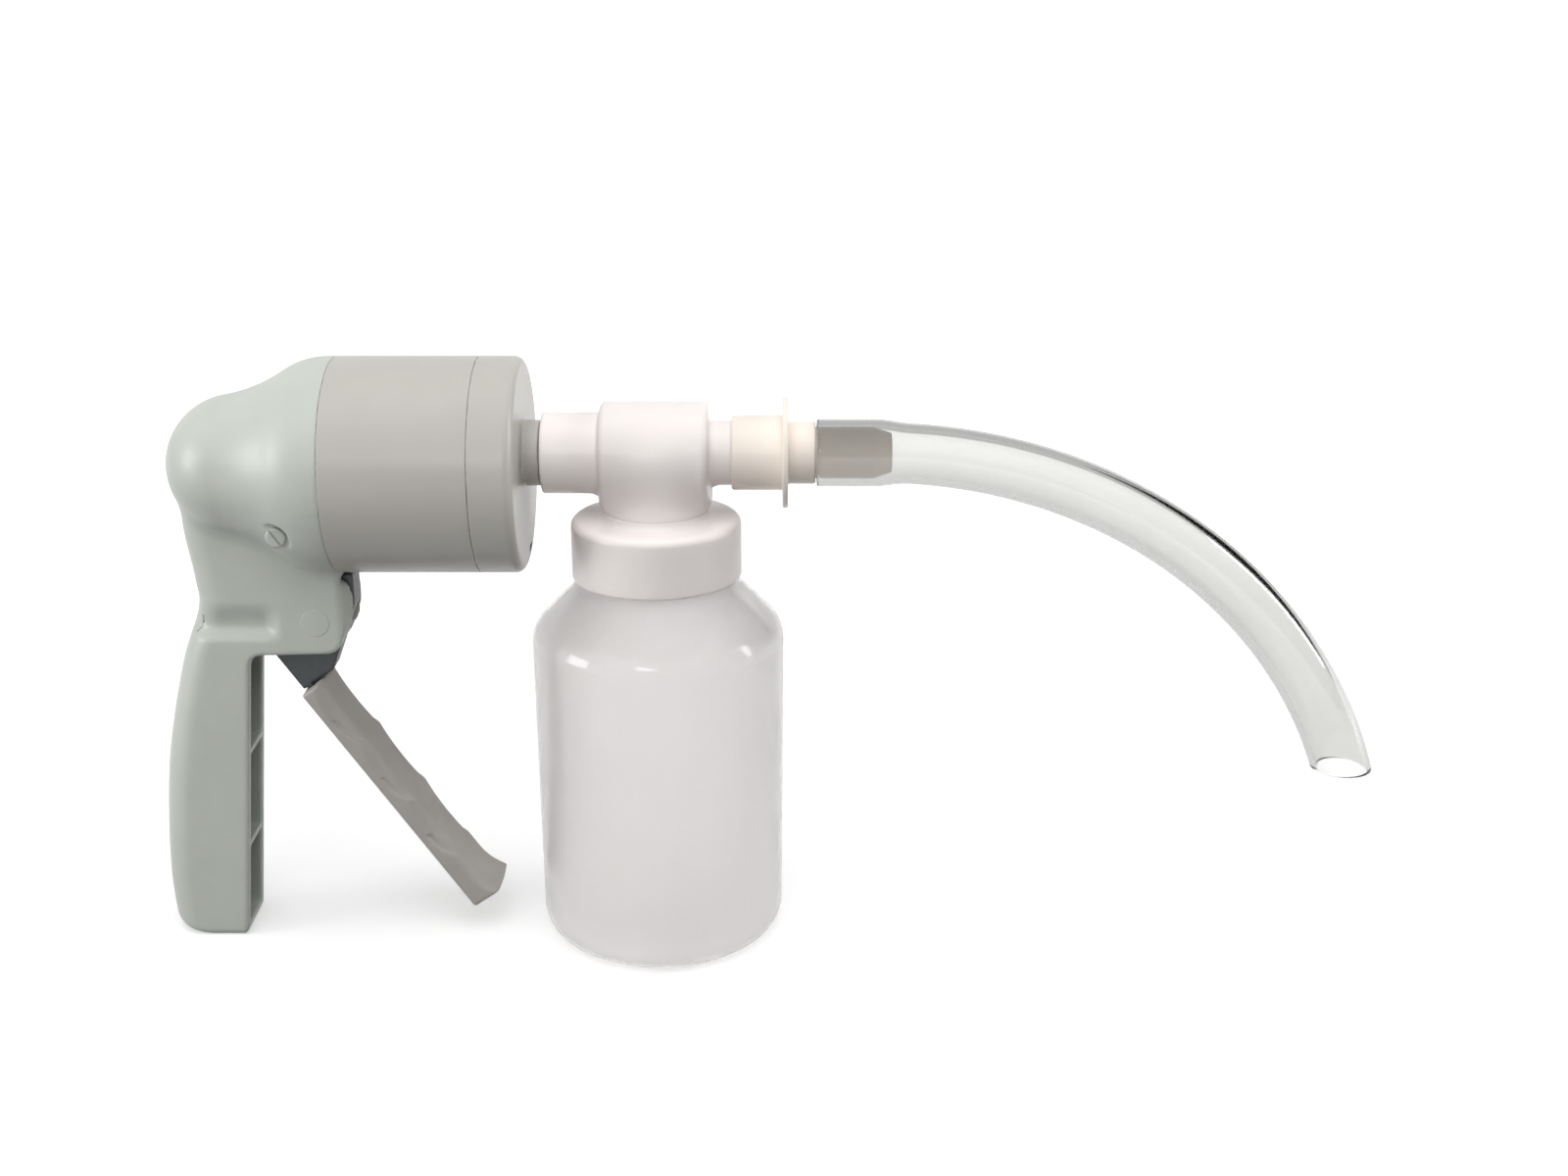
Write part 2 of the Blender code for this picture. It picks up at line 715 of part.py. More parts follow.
def barrel():
    """Pump cylinder with a rear wall, spigots at both ends and two tongues for the flank screws."""
    mouth_r = BARREL_R - WALL
    front_x = CAP_SEAM_X + FRONT_SPIGOT
    bush_r = ROD_R + RUNNING_GAP + BUSH_WALL + GAP
    recess_r = bush_r + BUSH_FLANGE_RIM
    recess_x = SEAM_X + BULKHEAD - BUSH_FLANGE - GAP
    profile = [
        (BORE_R, front_x),
        (BORE_R + SPIGOT_WALL, front_x),
        (BORE_R + SPIGOT_WALL, CAP_SEAM_X),
        (BARREL_R - SEAM_CHAMFER, CAP_SEAM_X),
        (BARREL_R, CAP_SEAM_X - SEAM_CHAMFER),
        (BARREL_R, SEAM_X + GAP + SEAM_CHAMFER),
        (BARREL_R - SEAM_CHAMFER, SEAM_X + GAP),
        (mouth_r - GAP, SEAM_X + GAP),
        (mouth_r - GAP, SEAM_X - REAR_SPIGOT),
        (mouth_r - GAP - WALL, SEAM_X - REAR_SPIGOT),
        (mouth_r - GAP - WALL, SEAM_X),
        (bush_r, SEAM_X),
        (bush_r, recess_x),
        (recess_r, recess_x),
        (recess_r, SEAM_X + BULKHEAD),
        (BORE_R, SEAM_X + BULKHEAD),
    ]
    cylinder = turned("barrel", profile, BARREL_GREY, at=(0, AXIS_Z))
    rear_x = SEAM_X - SCREW_BEHIND_SEAM - TONGUE_PAST_SCREW
    for side, word in ((-1, "left"), (1, "right")):
        low = (rear_x, -TONGUE_WIDTH / 2, TONGUE_R)
        high = (SEAM_X + BULKHEAD / 2, TONGUE_WIDTH / 2, TONGUE_R + TONGUE)
        tongue = block(f"tongue_{word}", low, high)
        tongue.rotation_euler = (-side * (math.pi / 2 + SCREW_TILT), 0, 0)
        tongue.location = (0, 0, AXIS_Z)
        boolean(cylinder, tongue, "UNION")
    holes = [(screw_point(s, 0.5 * TONGUE_R), screw_point(s, BARREL_R)) for s in (-1, 1)]
    boolean(cylinder, rods("tongue_holes", holes, SCREW_SHANK_R + GAP))
    notch = NECK_SLOT / 2
    low = (SEAM_X - REAR_SPIGOT - WALL, -notch, AXIS_Z - BARREL_R)
    high = (SEAM_X, notch, AXIS_Z - mouth_r / 2)
    boolean(cylinder, block("lever_notch", low, high))


def rod_bush():
    """Flanged bush that guides the rod through the barrel's rear wall."""
    inner = ROD_R + RUNNING_GAP
    outer = inner + BUSH_WALL
    front_x = SEAM_X + BULKHEAD
    back_x = front_x - BUSH_FLANGE
    profile = [
        (inner, front_x),
        (outer + BUSH_FLANGE_RIM, front_x),
        (outer + BUSH_FLANGE_RIM, back_x),
        (outer, back_x),
        (outer, SEAM_X),
        (inner, SEAM_X),
    ]
    turned("rod_bush", profile, ACETAL, at=(0, AXIS_Z), steps=STEPS_MEDIUM)


def front_cap():
    """Front cover of the cylinder with the suction port and the exhaust slot."""
    inner_x = CAP_FRONT_X - CAP_WALL
    corners = [
        (0.0, CAP_FRONT_X, 0),
        (BARREL_R, CAP_FRONT_X, CAP_EDGE_R),
        (BARREL_R, CAP_SEAM_X + GAP, SEAM_CHAMFER),
        (CAP_BORE_R, CAP_SEAM_X + GAP, 0),
        (CAP_BORE_R, inner_x, 0),
        (0.0, inner_x, 0),
    ]
    cap = turned("front_cap", rounded(corners, closed=False), BARREL_GREY, at=(0, AXIS_Z))
    boss_x = CAP_FRONT_X + PORT_BOSS
    end_x = boss_x + PORT_LENGTH
    ring_x = end_x - O_RING_BACK
    groove = O_RING_R + GAP
    groove_r = PORT_R - 2 * O_RING_R - GAP
    port = [
        (0.0, end_x),
        (PORT_R - PORT_CHAMFER, end_x),
        (PORT_R, end_x - PORT_CHAMFER),
        (PORT_R, ring_x + groove),
        (groove_r, ring_x + groove),
        (groove_r, ring_x - groove),
        (PORT_R, ring_x - groove),
        (PORT_R, boss_x),
        (PORT_BOSS_R - PORT_CHAMFER, boss_x),
        (PORT_BOSS_R, boss_x - PORT_CHAMFER),
        (PORT_BOSS_R, CAP_FRONT_X - CAP_WALL / 2),
        (PORT_R, CAP_FRONT_X - CAP_WALL / 2),
        (PORT_R, PLATE_REAR_X + PLATE + GAP),
        (0.0, PLATE_REAR_X + PLATE + GAP),
    ]
    boolean(cap, turned("port", port, at=(0, PORT_Z), steps=STEPS_MEDIUM), "UNION")
    bore = [
        (0.0, end_x + CAP_WALL),
        (PORT_BORE_R, end_x + CAP_WALL),
        (PORT_BORE_R, PLATE_REAR_X),
        (0.0, PLATE_REAR_X),
    ]
    boolean(cap, turned("port_bore", bore, at=(0, PORT_Z), steps=STEPS_MEDIUM))
    vent_z = AXIS_Z - VENT_DROP
    low = (inner_x - CAP_WALL / 2, VENT_Y - VENT_WIDTH / 2, vent_z - VENT_HEIGHT / 2)
    high = (CAP_FRONT_X + CAP_WALL / 2, VENT_Y + VENT_WIDTH / 2, vent_z + VENT_HEIGHT / 2)
    boolean(cap, block("vent_slot", low, high))


def o_ring(name, centre_r, radius, x, z):
    """Round seal ring about a line along X."""
    profile = arc((centre_r, x), radius, math.pi / 2, -3 * math.pi / 2, 6)[:-1]
    turned(name, profile, BLACK_RUBBER, at=(0, z), steps=STEPS_MEDIUM)


def port_o_ring():
    """Seal between the port and the tee's socket."""
    ring_x = CAP_FRONT_X + PORT_BOSS + PORT_LENGTH - O_RING_BACK
    o_ring("port_o_ring", PORT_R - O_RING_R, O_RING_R, ring_x, PORT_Z)


def plate_gasket():
    """Flat ring between the barrel's front spigot and the valve plate."""
    rear_x = CAP_SEAM_X + FRONT_SPIGOT + GAP
    outer = CAP_BORE_R - GAP
    profile = [
        (outer, rear_x + GASKET),
        (outer, rear_x),
        (BORE_R, rear_x),
        (BORE_R, rear_x + GASKET),
    ]
    turned("plate_gasket", profile, BLACK_RUBBER, at=(0, AXIS_Z), steps=STEPS_MEDIUM)


def valve_holes(z):
    """End points of the stem hole's and flow holes' centre lines for one valve."""
    reach = PLATE
    start, end = PLATE_REAR_X - reach, PLATE_REAR_X + PLATE + reach
    lines = []
    for i in range(VALVE_HOLES):
        a = math.tau * (i + 0.5) / VALVE_HOLES
        y = VALVE_HOLE_CIRCLE * math.cos(a)
        up = VALVE_HOLE_CIRCLE * math.sin(a)
        lines.append(((start, y, z + up), (end, y, z + up)))
    stem = ((start, 0, z), (end, 0, z))
    return lines, stem


def valve_plate():
    """Plate across the front of the cylinder with the seats of both valves."""
    outer = CAP_BORE_R - GAP
    profile = [
        (0.0, PLATE_REAR_X + PLATE),
        (outer, PLATE_REAR_X + PLATE),
        (outer, PLATE_REAR_X),
        (0.0, PLATE_REAR_X),
    ]
    disc = turned("valve_plate", profile, ACETAL, at=(0, AXIS_Z), steps=STEPS_MEDIUM)
    inlet, inlet_stem = valve_holes(PORT_Z)
    exhaust, exhaust_stem = valve_holes(AXIS_Z - EXHAUST_DROP)
    boolean(disc, rods("flow_holes", inlet + exhaust, VALVE_HOLE_R))
    boolean(disc, rods("stem_holes", [inlet_stem, exhaust_stem], VALVE_STEM_R + GAP))


def umbrella_valve(name, z, seat_x, way):
    """Rubber umbrella on one face of the valve plate, with a stem through it and a bulb behind.

    Way is 1 for an umbrella on the plate's front face, and -1 for one on its rear face.
    """
    bulb_x = -PLATE - 2 * GAP
    profile = [
        (0.0, VALVE_LIP * 1.6),
        (VALVE_R * 0.5, VALVE_LIP * 1.5),
        (VALVE_R, VALVE_LIP * 0.5),
        (VALVE_R, 0.0),
        (VALVE_STEM_R, 0.0),
        (VALVE_STEM_R, bulb_x),
        (VALVE_BULB_R, bulb_x),
        (VALVE_STEM_R, bulb_x - VALVE_BULB),
        (0.0, bulb_x - VALVE_BULB),
    ]
    valve = turned(name, profile, VALVE_RUBBER, axis="Z", steps=STEPS_SMALL)
    valve.rotation_euler = (0, way * math.pi / 2, 0)
    valve.location = (seat_x + way * GAP, 0, z)


def valves():
    """Inlet flap on the cylinder's side of the plate and exhaust flap on the cap's side."""
    umbrella_valve("inlet_valve", PORT_Z, PLATE_REAR_X, -1)
    umbrella_valve("exhaust_valve", AXIS_Z - EXHAUST_DROP, PLATE_REAR_X + PLATE, 1)


def piston():
    """Piston with a seal groove and a sunk seat for its screw."""
    rim = BORE_R - RUNNING_GAP
    groove = SEAL_WIDTH / 2 + GAP
    floor = BORE_R - GAP - SEAL_HEIGHT - GAP
    middle = (PISTON_REAR_X + PISTON_FRONT_X) / 2
    seat_x = PISTON_FRONT_X - PISTON_SCREW_HEAD - GAP
    head_r = PISTON_SCREW_HEAD_R + GAP
    bore = PISTON_SCREW_R + GAP
    profile = [
        (head_r, PISTON_FRONT_X),
        (rim, PISTON_FRONT_X),
        (rim, middle + groove),
        (floor, middle + groove),
        (floor, middle - groove),
        (rim, middle - groove),
        (rim, PISTON_REAR_X),
        (bore, PISTON_REAR_X),
        (bore, seat_x),
        (head_r, seat_x),
    ]
    turned("piston", profile, ACETAL, at=(0, AXIS_Z), steps=STEPS_MEDIUM)


def piston_seal():
    """Rubber ring in the piston's groove."""
    outer = BORE_R - GAP
    middle = (PISTON_REAR_X + PISTON_FRONT_X) / 2
    inner = outer - SEAL_HEIGHT
    profile = [
        (inner, middle + SEAL_WIDTH / 2),
        (outer - SEAL_HEIGHT / 2, middle + SEAL_WIDTH / 2),
        (outer, middle),
        (outer - SEAL_HEIGHT / 2, middle - SEAL_WIDTH / 2),
        (inner, middle - SEAL_WIDTH / 2),
    ]
    turned("piston_seal", profile, BLACK_RUBBER, at=(0, AXIS_Z), steps=STEPS_MEDIUM)


def piston_screw():
    """Screw that draws the piston onto the rod."""
    top = PISTON_FRONT_X - GAP
    under = top - PISTON_SCREW_HEAD + GAP
    end = top - PISTON_SCREW_HEAD - PISTON_SCREW_LENGTH
    profile = [
        (0.0, top),
        (PISTON_SCREW_HEAD_R, top),
        (PISTON_SCREW_HEAD_R, under),
        (PISTON_SCREW_R, under),
        (PISTON_SCREW_R, end),
        (0.0, end),
    ]
    turned("piston_screw", profile, STEEL, at=(0, AXIS_Z), steps=STEPS_SMALL)


def piston_rod():
    """Round rod, forked at the rear round the lever and bored for the cross pin."""
    front_x = PISTON_REAR_X - GAP
    rear_x = PIN_X - ROD_PAST_PIN
    chamfer = ROD_R / 6
    screw_end = PISTON_FRONT_X - PISTON_SCREW_HEAD - PISTON_SCREW_LENGTH - 2 * GAP
    bore = PISTON_SCREW_R + GAP
    profile = [
        (0.0, screw_end),
        (bore, screw_end),
        (bore, front_x),
        (ROD_R, front_x),
        (ROD_R, rear_x + chamfer),
        (ROD_R - chamfer, rear_x),
        (0.0, rear_x),
    ]
    rod = turned("piston_rod", profile, ACETAL, at=(0, AXIS_Z), steps=STEPS_MEDIUM)
    half = FORK_WIDTH / 2 + GAP
    low = (rear_x - ROD_R, -half, AXIS_Z - 2 * ROD_R)
    high = (PIN_X + ROD_SLOT_AHEAD, half, AXIS_Z + 2 * ROD_R)
    boolean(rod, block("rod_slot", low, high))
    line = ((PIN_X, -2 * ROD_R, AXIS_Z), (PIN_X, 2 * ROD_R, AXIS_Z))
    boolean(rod, rods("cross_pin_hole", [line], CROSS_PIN_R + GAP))


def cross_pins():
    """The rod's cross pin and the lever's pivot pin, both along Y."""
    pins = (
        ("rod_cross_pin", CROSS_PIN_R, ROD_R, PIN_X, AXIS_Z, STEEL),
        ("pivot_pin", PIVOT_R, GRIP_HALF_WIDTH, PIVOT_X, PIVOT_Z, HOUSING_GREY),
    )
    for name, radius, half_length, x, z, look in pins:
        bevel = radius / 8
        profile = [
            (0.0, half_length),
            (radius - bevel, half_length),
            (radius, half_length - bevel),
            (radius, bevel - half_length),
            (radius - bevel, -half_length),
            (0.0, -half_length),
        ]
        pin = turned(name, profile, look, axis="Z", steps=STEPS_MEDIUM)
        pin.rotation_euler = (math.pi / 2, 0, 0)
        pin.location = (x, 0, z)


def return_spring():
    """Compression spring between the piston and the valve plate, one unbroken wire."""
    start = PISTON_FRONT_X + GAP + SPRING_WIRE / 2
    end = PLATE_REAR_X - GAP - SPRING_WIRE / 2
    turns = np.linspace(0, SPRING_TURNS, SPRING_TURNS * SPRING_POINTS + 1)
    a = math.tau * turns
    x = start + (end - start) * turns / SPRING_TURNS
    points = np.stack([x, SPRING_R * np.cos(a), AXIS_Z + SPRING_R * np.sin(a)], axis=1)
    tube("return_spring", points, [SPRING_WIRE / 2] * len(points), STEEL, sides=1)
    apart = np.linalg.norm(points[:, None] - points[None], axis=2)
    index = np.arange(len(points))
    far = np.abs(index[:, None] - index[None]) > SPRING_POINTS / 2
    print(f"return_spring: least gap to itself {1000 * (apart[far].min() - SPRING_WIRE):.2f} mm")


def arm_point(along, across):
    """Point (x, z) of the upper arm: along it from the pivot, and across it towards the front."""
    x = PIVOT_X - along * math.sin(ARM_LEAN) + across * math.cos(ARM_LEAN)
    z = PIVOT_Z + along * math.cos(ARM_LEAN) + across * math.sin(ARM_LEAN)
    return x, z


def lever_point(along, across):
    """Point (x, z) of the lower lever: down it from the pivot, and across it towards the front."""
    x = PIVOT_X + along * math.sin(LEVER_LEAN) + across * math.cos(LEVER_LEAN)
    z = PIVOT_Z - along * math.cos(LEVER_LEAN) + across * math.sin(LEVER_LEAN)
    return x, z


def cam_slot():
    """Outline of the fork's slot, open at the top.

    The cross pin travels evenly with the lever's angle, so its place seen from the turning lever, at
    each angle, is its place in the pump turned back by that angle. The slot is that path widened by
    the pin. The path stops just short of the full angle, where it hardly moves.
    """
    angles = np.linspace(0, 0.9 * LEVER_TRAVEL, 8)
    pin_x = STROKE * (angles / LEVER_TRAVEL - 1)
    x = pin_x * np.cos(angles) - PIVOT_DROP * np.sin(angles)
    z = pin_x * np.sin(angles) + PIVOT_DROP * np.cos(angles)
    path = np.stack([x, z], axis=1)
    path = np.vstack([path[0] + 3 * FORK_PAST_PIN * unit(path[0] - path[1]), path])
    tangent = np.gradient(path, axis=0)
    tangent /= np.linalg.norm(tangent, axis=1, keepdims=True)
    side = np.stack([-tangent[:, 1], tangent[:, 0]], axis=1)
    half = CROSS_PIN_R + RUNNING_GAP
    end = path[-1]
    first = math.atan2(side[-1][1], side[-1][0])
    cap = arc(end, half, first, first - math.pi, 8)
    outline = [*(path + half * side)[:-1], *cap, *(path - half * side)[-2::-1]]
    return [(PIVOT_X + px, PIVOT_Z + pz) for px, pz in outline]


def unit(vector):
    """The vector at length 1."""
    return vector / np.linalg.norm(vector)


def lever_core():
    """Dark inner lever: hub with a stop nose, a tang for the grip, and the fork up to the rod."""
    nose_z = AXIS_Z - BARREL_R - STOP_GAP
    nose_x = PIVOT_X + NOSE_REACH
    tang_rear = -SHANK_REAR + TANG_INSET
    corners = [
        (nose_x, nose_z, 0.001),
        (nose_x, nose_z - NOSE_DEPTH, 0.002),
        (*lever_point(SHANK_LENGTH, -SHANK_FRONT), 0.0008),
        (*lever_point(SHANK_LENGTH, tang_rear + TANG), 0),
        (*lever_point(SHANK_LENGTH + TANG_LENGTH, tang_rear + TANG), 0),
        (*lever_point(SHANK_LENGTH + TANG_LENGTH, tang_rear), 0),
        (*lever_point(SHANK_LENGTH, tang_rear), 0),
        (*lever_point(SHANK_LENGTH, -SHANK_REAR), 0.0003),
        (*lever_point(0, -SHANK_REAR), 0.004),
        (*arm_point(HUB_REAR, -HUB_REAR), 0.003),
        (*arm_point(2 * HUB_REAR, -FORK_HALF_DEPTH), 0.002),
        (*arm_point(2 * HUB_REAR, FORK_HALF_DEPTH), 0.002),
        (PIVOT_X, nose_z, 0.001),
    ]
    core = plate("lever_core", rounded(corners), HUB_WIDTH, LEVER_BLACK)
    top = math.hypot(STROKE, PIVOT_DROP) + FORK_PAST_PIN
    arm = [
        (*arm_point(0, -FORK_HALF_DEPTH), 0),
        (*arm_point(0, FORK_HALF_DEPTH), 0),
        (*arm_point(top, FORK_HALF_DEPTH), 0.001),
        (*arm_point(top, -FORK_HALF_DEPTH), 0.001),
    ]
    boolean(core, plate("lever_arm", rounded(arm), FORK_WIDTH), "UNION")
    boolean(core, plate("cam_slot", cam_slot(), 2 * FORK_WIDTH))
    line = ((PIVOT_X, -HUB_WIDTH, PIVOT_Z), (PIVOT_X, HUB_WIDTH, PIVOT_Z))
    boolean(core, rods("hub_hole", [line], PIVOT_R + GAP, STEPS_MEDIUM))
    return core


def grip_front(along):
    """How far the finger grip's front lies behind the lever's line, with its grooves and flared tip."""
    ridge = SHANK_LENGTH + FIRST_RIDGE
    wave = np.abs(np.sin(math.pi * (along - ridge) / GROOVE_PITCH))
    grooved = (along > ridge) & (along < ridge + GROOVES * GROOVE_PITCH)
    end = SHANK_LENGTH + GAP + LEVER_GRIP_LENGTH
    flare = np.clip((along - end + TIP_FLARE_LENGTH) / TIP_FLARE_LENGTH, 0, 1)
    return -SHANK_REAR + LEVER_GRIP_DEPTH - GROOVE_DEPTH * wave * grooved + TIP_FLARE * flare**2


def lever_grip():
    """Light finger grip lofted down the lever, with a socket for the core's tang."""
    start = SHANK_LENGTH + GAP
    rings = []
    for along in np.linspace(start, start + LEVER_GRIP_LENGTH, LEVER_STATIONS):
        front = float(grip_front(along))
        half = LEVER_GRIP_HALF_WIDTH
        section = [
            (-SHANK_REAR, half - LEVER_CORNER),
            (-SHANK_REAR + LEVER_CORNER, half),
            (front - LEVER_SHOULDER, half),
            (front - LEVER_CROWN, half - LEVER_CORNER),
            (front - LEVER_CROWN / 4, half / 2),
            (front, 0.0),
        ]
        other = [(n, -y) for n, y in section[-2::-1]]
        ring = []
        for across, y in section + other:
            x, z = lever_point(along, across)
            ring.append((x, y, z))
        rings.append(ring)
    grip = loft("lever_grip", rings, LEVER_GREY)
    rear = -SHANK_REAR + TANG_INSET - GAP
    outline = [
        lever_point(SHANK_LENGTH - GAP, rear),
        lever_point(SHANK_LENGTH - GAP, rear + TANG + 2 * GAP),
        lever_point(SHANK_LENGTH + TANG_LENGTH + GAP, rear + TANG + 2 * GAP),
        lever_point(SHANK_LENGTH + TANG_LENGTH + GAP, rear),
    ]
    boolean(grip, plate("tang_socket", outline, HUB_WIDTH + 2 * GAP))
    return grip


def tee_adapter():
    """White tee: socket for the pump's port, body, trunk down to the bottle and arm for the catheter."""
    arm_end = RIGHT_ARM_X + RIGHT_ARM
    corners = [
        (0.0, arm_end, 0),
        (RIGHT_ARM_R, arm_end, PORT_CHAMFER),
        (RIGHT_ARM_R, RIGHT_ARM_X, 0),
        (BODY_R, RIGHT_ARM_X, BODY_EDGE_R),
        (BODY_R, BODY_X, BODY_EDGE_R),
        (LEFT_ARM_R, BODY_X, 0),
        (LEFT_ARM_R, TEE_X, PORT_CHAMFER),
        (0.0, TEE_X, 0),
    ]
    tee = turned("tee_adapter", rounded(corners, closed=False), WHITE, at=(0, PORT_Z))
    flange_r = COLLAR_BORE_R - RUNNING_GAP
    trunk = [
        (0.0, PORT_Z),
        (TRUNK_R, PORT_Z),
        (TRUNK_R, TEE_FLANGE_Z),
        (flange_r, TEE_FLANGE_Z),
        (flange_r, TEE_MOUTH_Z),
        (0.0, TEE_MOUTH_Z),
    ]
    boolean(tee, turned("trunk", trunk, axis="Z", at=(TRUNK_X, 0)), "UNION")
    socket_end = TEE_X + PORT_LENGTH + 2 * GAP
    bore = [
        (0.0, arm_end + CAP_WALL),
        (TEE_BORE_R, arm_end + CAP_WALL),
        (TEE_BORE_R, socket_end),
        (PORT_R + GAP, socket_end),
        (PORT_R + GAP, TEE_X - CAP_WALL),
        (0.0, TEE_X - CAP_WALL),
    ]
    boolean(tee, turned("tee_bore", bore, at=(0, PORT_Z), steps=STEPS_MEDIUM))
    top_z = PORT_Z + TRUNK_BORE_RISE
    down = ((TRUNK_X, 0, TEE_MOUTH_Z - TEE_FLANGE), (TRUNK_X, 0, top_z))
    boolean(tee, rods("trunk_bore", [down], TRUNK_BORE_R, STEPS_MEDIUM))


def tee_baffle():
    """Wall across the trunk between the pump's side and the catheter's side."""
    half = math.sqrt(TRUNK_BORE_R**2 - (BAFFLE / 2) ** 2) - GAP
    low = (TRUNK_X - BAFFLE / 2, -half, TEE_MOUTH_Z - BAFFLE_BELOW_FLANGE)
    high = (TRUNK_X + BAFFLE / 2, half, PORT_Z + TRUNK_BORE_RISE - GAP)
    block("tee_baffle", low, high, WHITE)


def bottle_collar():
    """Union nut that turns on the tee's trunk and draws the bottle up against the gasket."""
    foot_z = COLLAR_Z - COLLAR_HEIGHT
    hole_r = TRUNK_R + RUNNING_GAP
    corners = [
        (hole_r, COLLAR_Z, 0),
        (COLLAR_R, COLLAR_Z, COLLAR_EDGE_R),
        (COLLAR_R, foot_z, COLLAR_HEM_R),
        (COLLAR_BORE_R, foot_z, 0),
        (COLLAR_BORE_R, COLLAR_Z - COLLAR_TOP, 0),
        (hole_r, COLLAR_Z - COLLAR_TOP, 0),
    ]
    turned("bottle_collar", rounded(corners), WHITE, axis="Z", at=(TRUNK_X, 0))


def bottle_gasket():
    """Flat seal between the tee's flange and the bottle's lip."""
    top_z = TEE_MOUTH_Z - GAP
    outer = COLLAR_BORE_R - RUNNING_GAP
    inner = NECK_R - LIP
    profile = [
        (outer, top_z),
        (outer, top_z - BOTTLE_GASKET),
        (inner, top_z - BOTTLE_GASKET),
        (inner, top_z),
    ]
    turned("bottle_gasket", profile, BLACK_RUBBER, axis="Z", at=(TRUNK_X, 0), steps=STEPS_MEDIUM)


def bottle():
    """Blown bottle with a sloping shoulder, a round base edge and a push-up in its base."""
    root_z = COLLAR_Z - COLLAR_HEIGHT - GAP
    shoulder_z = root_z - SHOULDER_HEIGHT
    base_r = BOTTLE_R - BOTTLE_TAPER
    wall = BOTTLE_WALL
    corners = [
        (NECK_R - LIP, LIP_Z, 0),
        (NECK_R, LIP_Z, 0),
        (NECK_R, root_z, SHOULDER_ROOT_R),
        (BOTTLE_R, shoulder_z, SHOULDER_R),
        (base_r, 0.0, BASE_R),
        (PUSH_UP_R, 0.0, 0),
        (PUSH_UP_R - 2 * PUSH_UP, PUSH_UP, 0),
        (0.0, PUSH_UP, 0),
        (0.0, PUSH_UP + wall, 0),
        (PUSH_UP_R - 2 * PUSH_UP, PUSH_UP + wall, 0),
        (PUSH_UP_R, wall, 0),
        (base_r - wall, wall, BASE_R - wall),
        (BOTTLE_R - wall, shoulder_z, SHOULDER_R - wall),
        (NECK_R - LIP, root_z - wall / 2, SHOULDER_ROOT_R),
    ]
    outline = rounded(corners)
    inner = outline.index((0.0, PUSH_UP + wall))
    profile = outline[inner:] + outline[:inner]
    turned("bottle", profile, MILKY, axis="Z", at=(TRUNK_X, 0))


def catheter_connector():
    """Sleeve on the tee's arm with a round flange and a barbed nipple for the tube."""
    stop_x = RIGHT_ARM_X + RIGHT_ARM + GAP
    barb_x = TUBE_X - GAP
    nose_x = barb_x + BARB
    end_x = nose_x + BARB_NOSE
    corners = [
        (CONNECTOR_BORE_R, end_x, 0),
        (BARB_NOSE_R, end_x, 0),
        (BARB_R, nose_x, 0),
        (BARB_R, barb_x, 0),
        (NIPPLE_R, barb_x, PORT_CHAMFER),
        (NIPPLE_R, FLANGE_X + FLANGE, 0),
        (FLANGE_R, FLANGE_X + FLANGE, SEAM_CHAMFER),
        (FLANGE_R, FLANGE_X, SEAM_CHAMFER),
        (SLEEVE_R, FLANGE_X, 0),
        (SLEEVE_R, SLEEVE_X, SLEEVE_EDGE),
        (RIGHT_ARM_R + GAP, SLEEVE_X, 0),
        (RIGHT_ARM_R + GAP, stop_x, 0),
        (CONNECTOR_BORE_R, stop_x, 0),
    ]
    return turned("catheter_connector", rounded(corners, 2), IVORY, at=(0, PORT_Z), steps=STEPS_MEDIUM)


def catheter_tube():
    """Stiff clear tube, stretched over the nipple, bent downwards and cut off level at its tip.

    After a straight start its curvature grows evenly along its length, so its heading is the sum of a
    part that grows with the length and a part that grows with the length squared.
    """
    stations = np.linspace(0, TUBE_LENGTH, TUBE_POINTS)
    bent = np.maximum(stations - TUBE_STRAIGHT, 0)
    tightening = (1 / TUBE_TIP_BEND_R - 1 / TUBE_BEND_R) / (TUBE_LENGTH - TUBE_STRAIGHT)
    heading = bent / TUBE_BEND_R + tightening * bent**2 / 2
    middle = (heading[1:] + heading[:-1]) / 2
    step = TUBE_LENGTH / (TUBE_POINTS - 1)
    ahead = step * np.concatenate([[0], np.cumsum(np.cos(middle))])
    drop = step * np.concatenate([[0], np.cumsum(np.sin(middle))])
    points = np.stack([TUBE_X + ahead, 0 * ahead, PORT_Z - drop], axis=1)
    eased = 1 - step_up((stations - BARB) / (2 * BARB_NOSE))
    outer = TUBE_R + TUBE_STRETCH * eased
    skin = tube("catheter_tube", points, outer, CLEAR)
    inside = points.copy()
    inside[0, 0] -= TUBE_WALL
    inside[-1] += unit(points[-1] - points[-2]) * TUBE_WALL
    boolean(skin, tube("tube_bore", inside, outer - TUBE_WALL))
    low = (TUBE_X, -2 * TUBE_R, points[:, 2].min() - 2 * TUBE_R)
    high = (points[:, 0].max() + 2 * TUBE_R, 2 * TUBE_R, TIP_Z)
    boolean(skin, block("tip_cut", low, high))
    return skin


def main():
    """Builds every piece."""
    rear_housing()
    housing_screws()
    cross_pins()
    barrel()
    rod_bush()
    front_cap()
    port_o_ring()
    plate_gasket()
    valve_plate()
    valves()
    piston()
    piston_seal()
    piston_screw()
    piston_rod()
    return_spring()
    carry("lever_axis", (PIVOT_X, 0, PIVOT_Z), lever_core(), lever_grip())
    tee_adapter()
    tee_baffle()
    bottle_collar()
    bottle_gasket()
    bottle()
    carry("catheter_axis", (SLEEVE_X, 0, PORT_Z), catheter_connector(), catheter_tube())


if __name__ == "__main__":
    main()
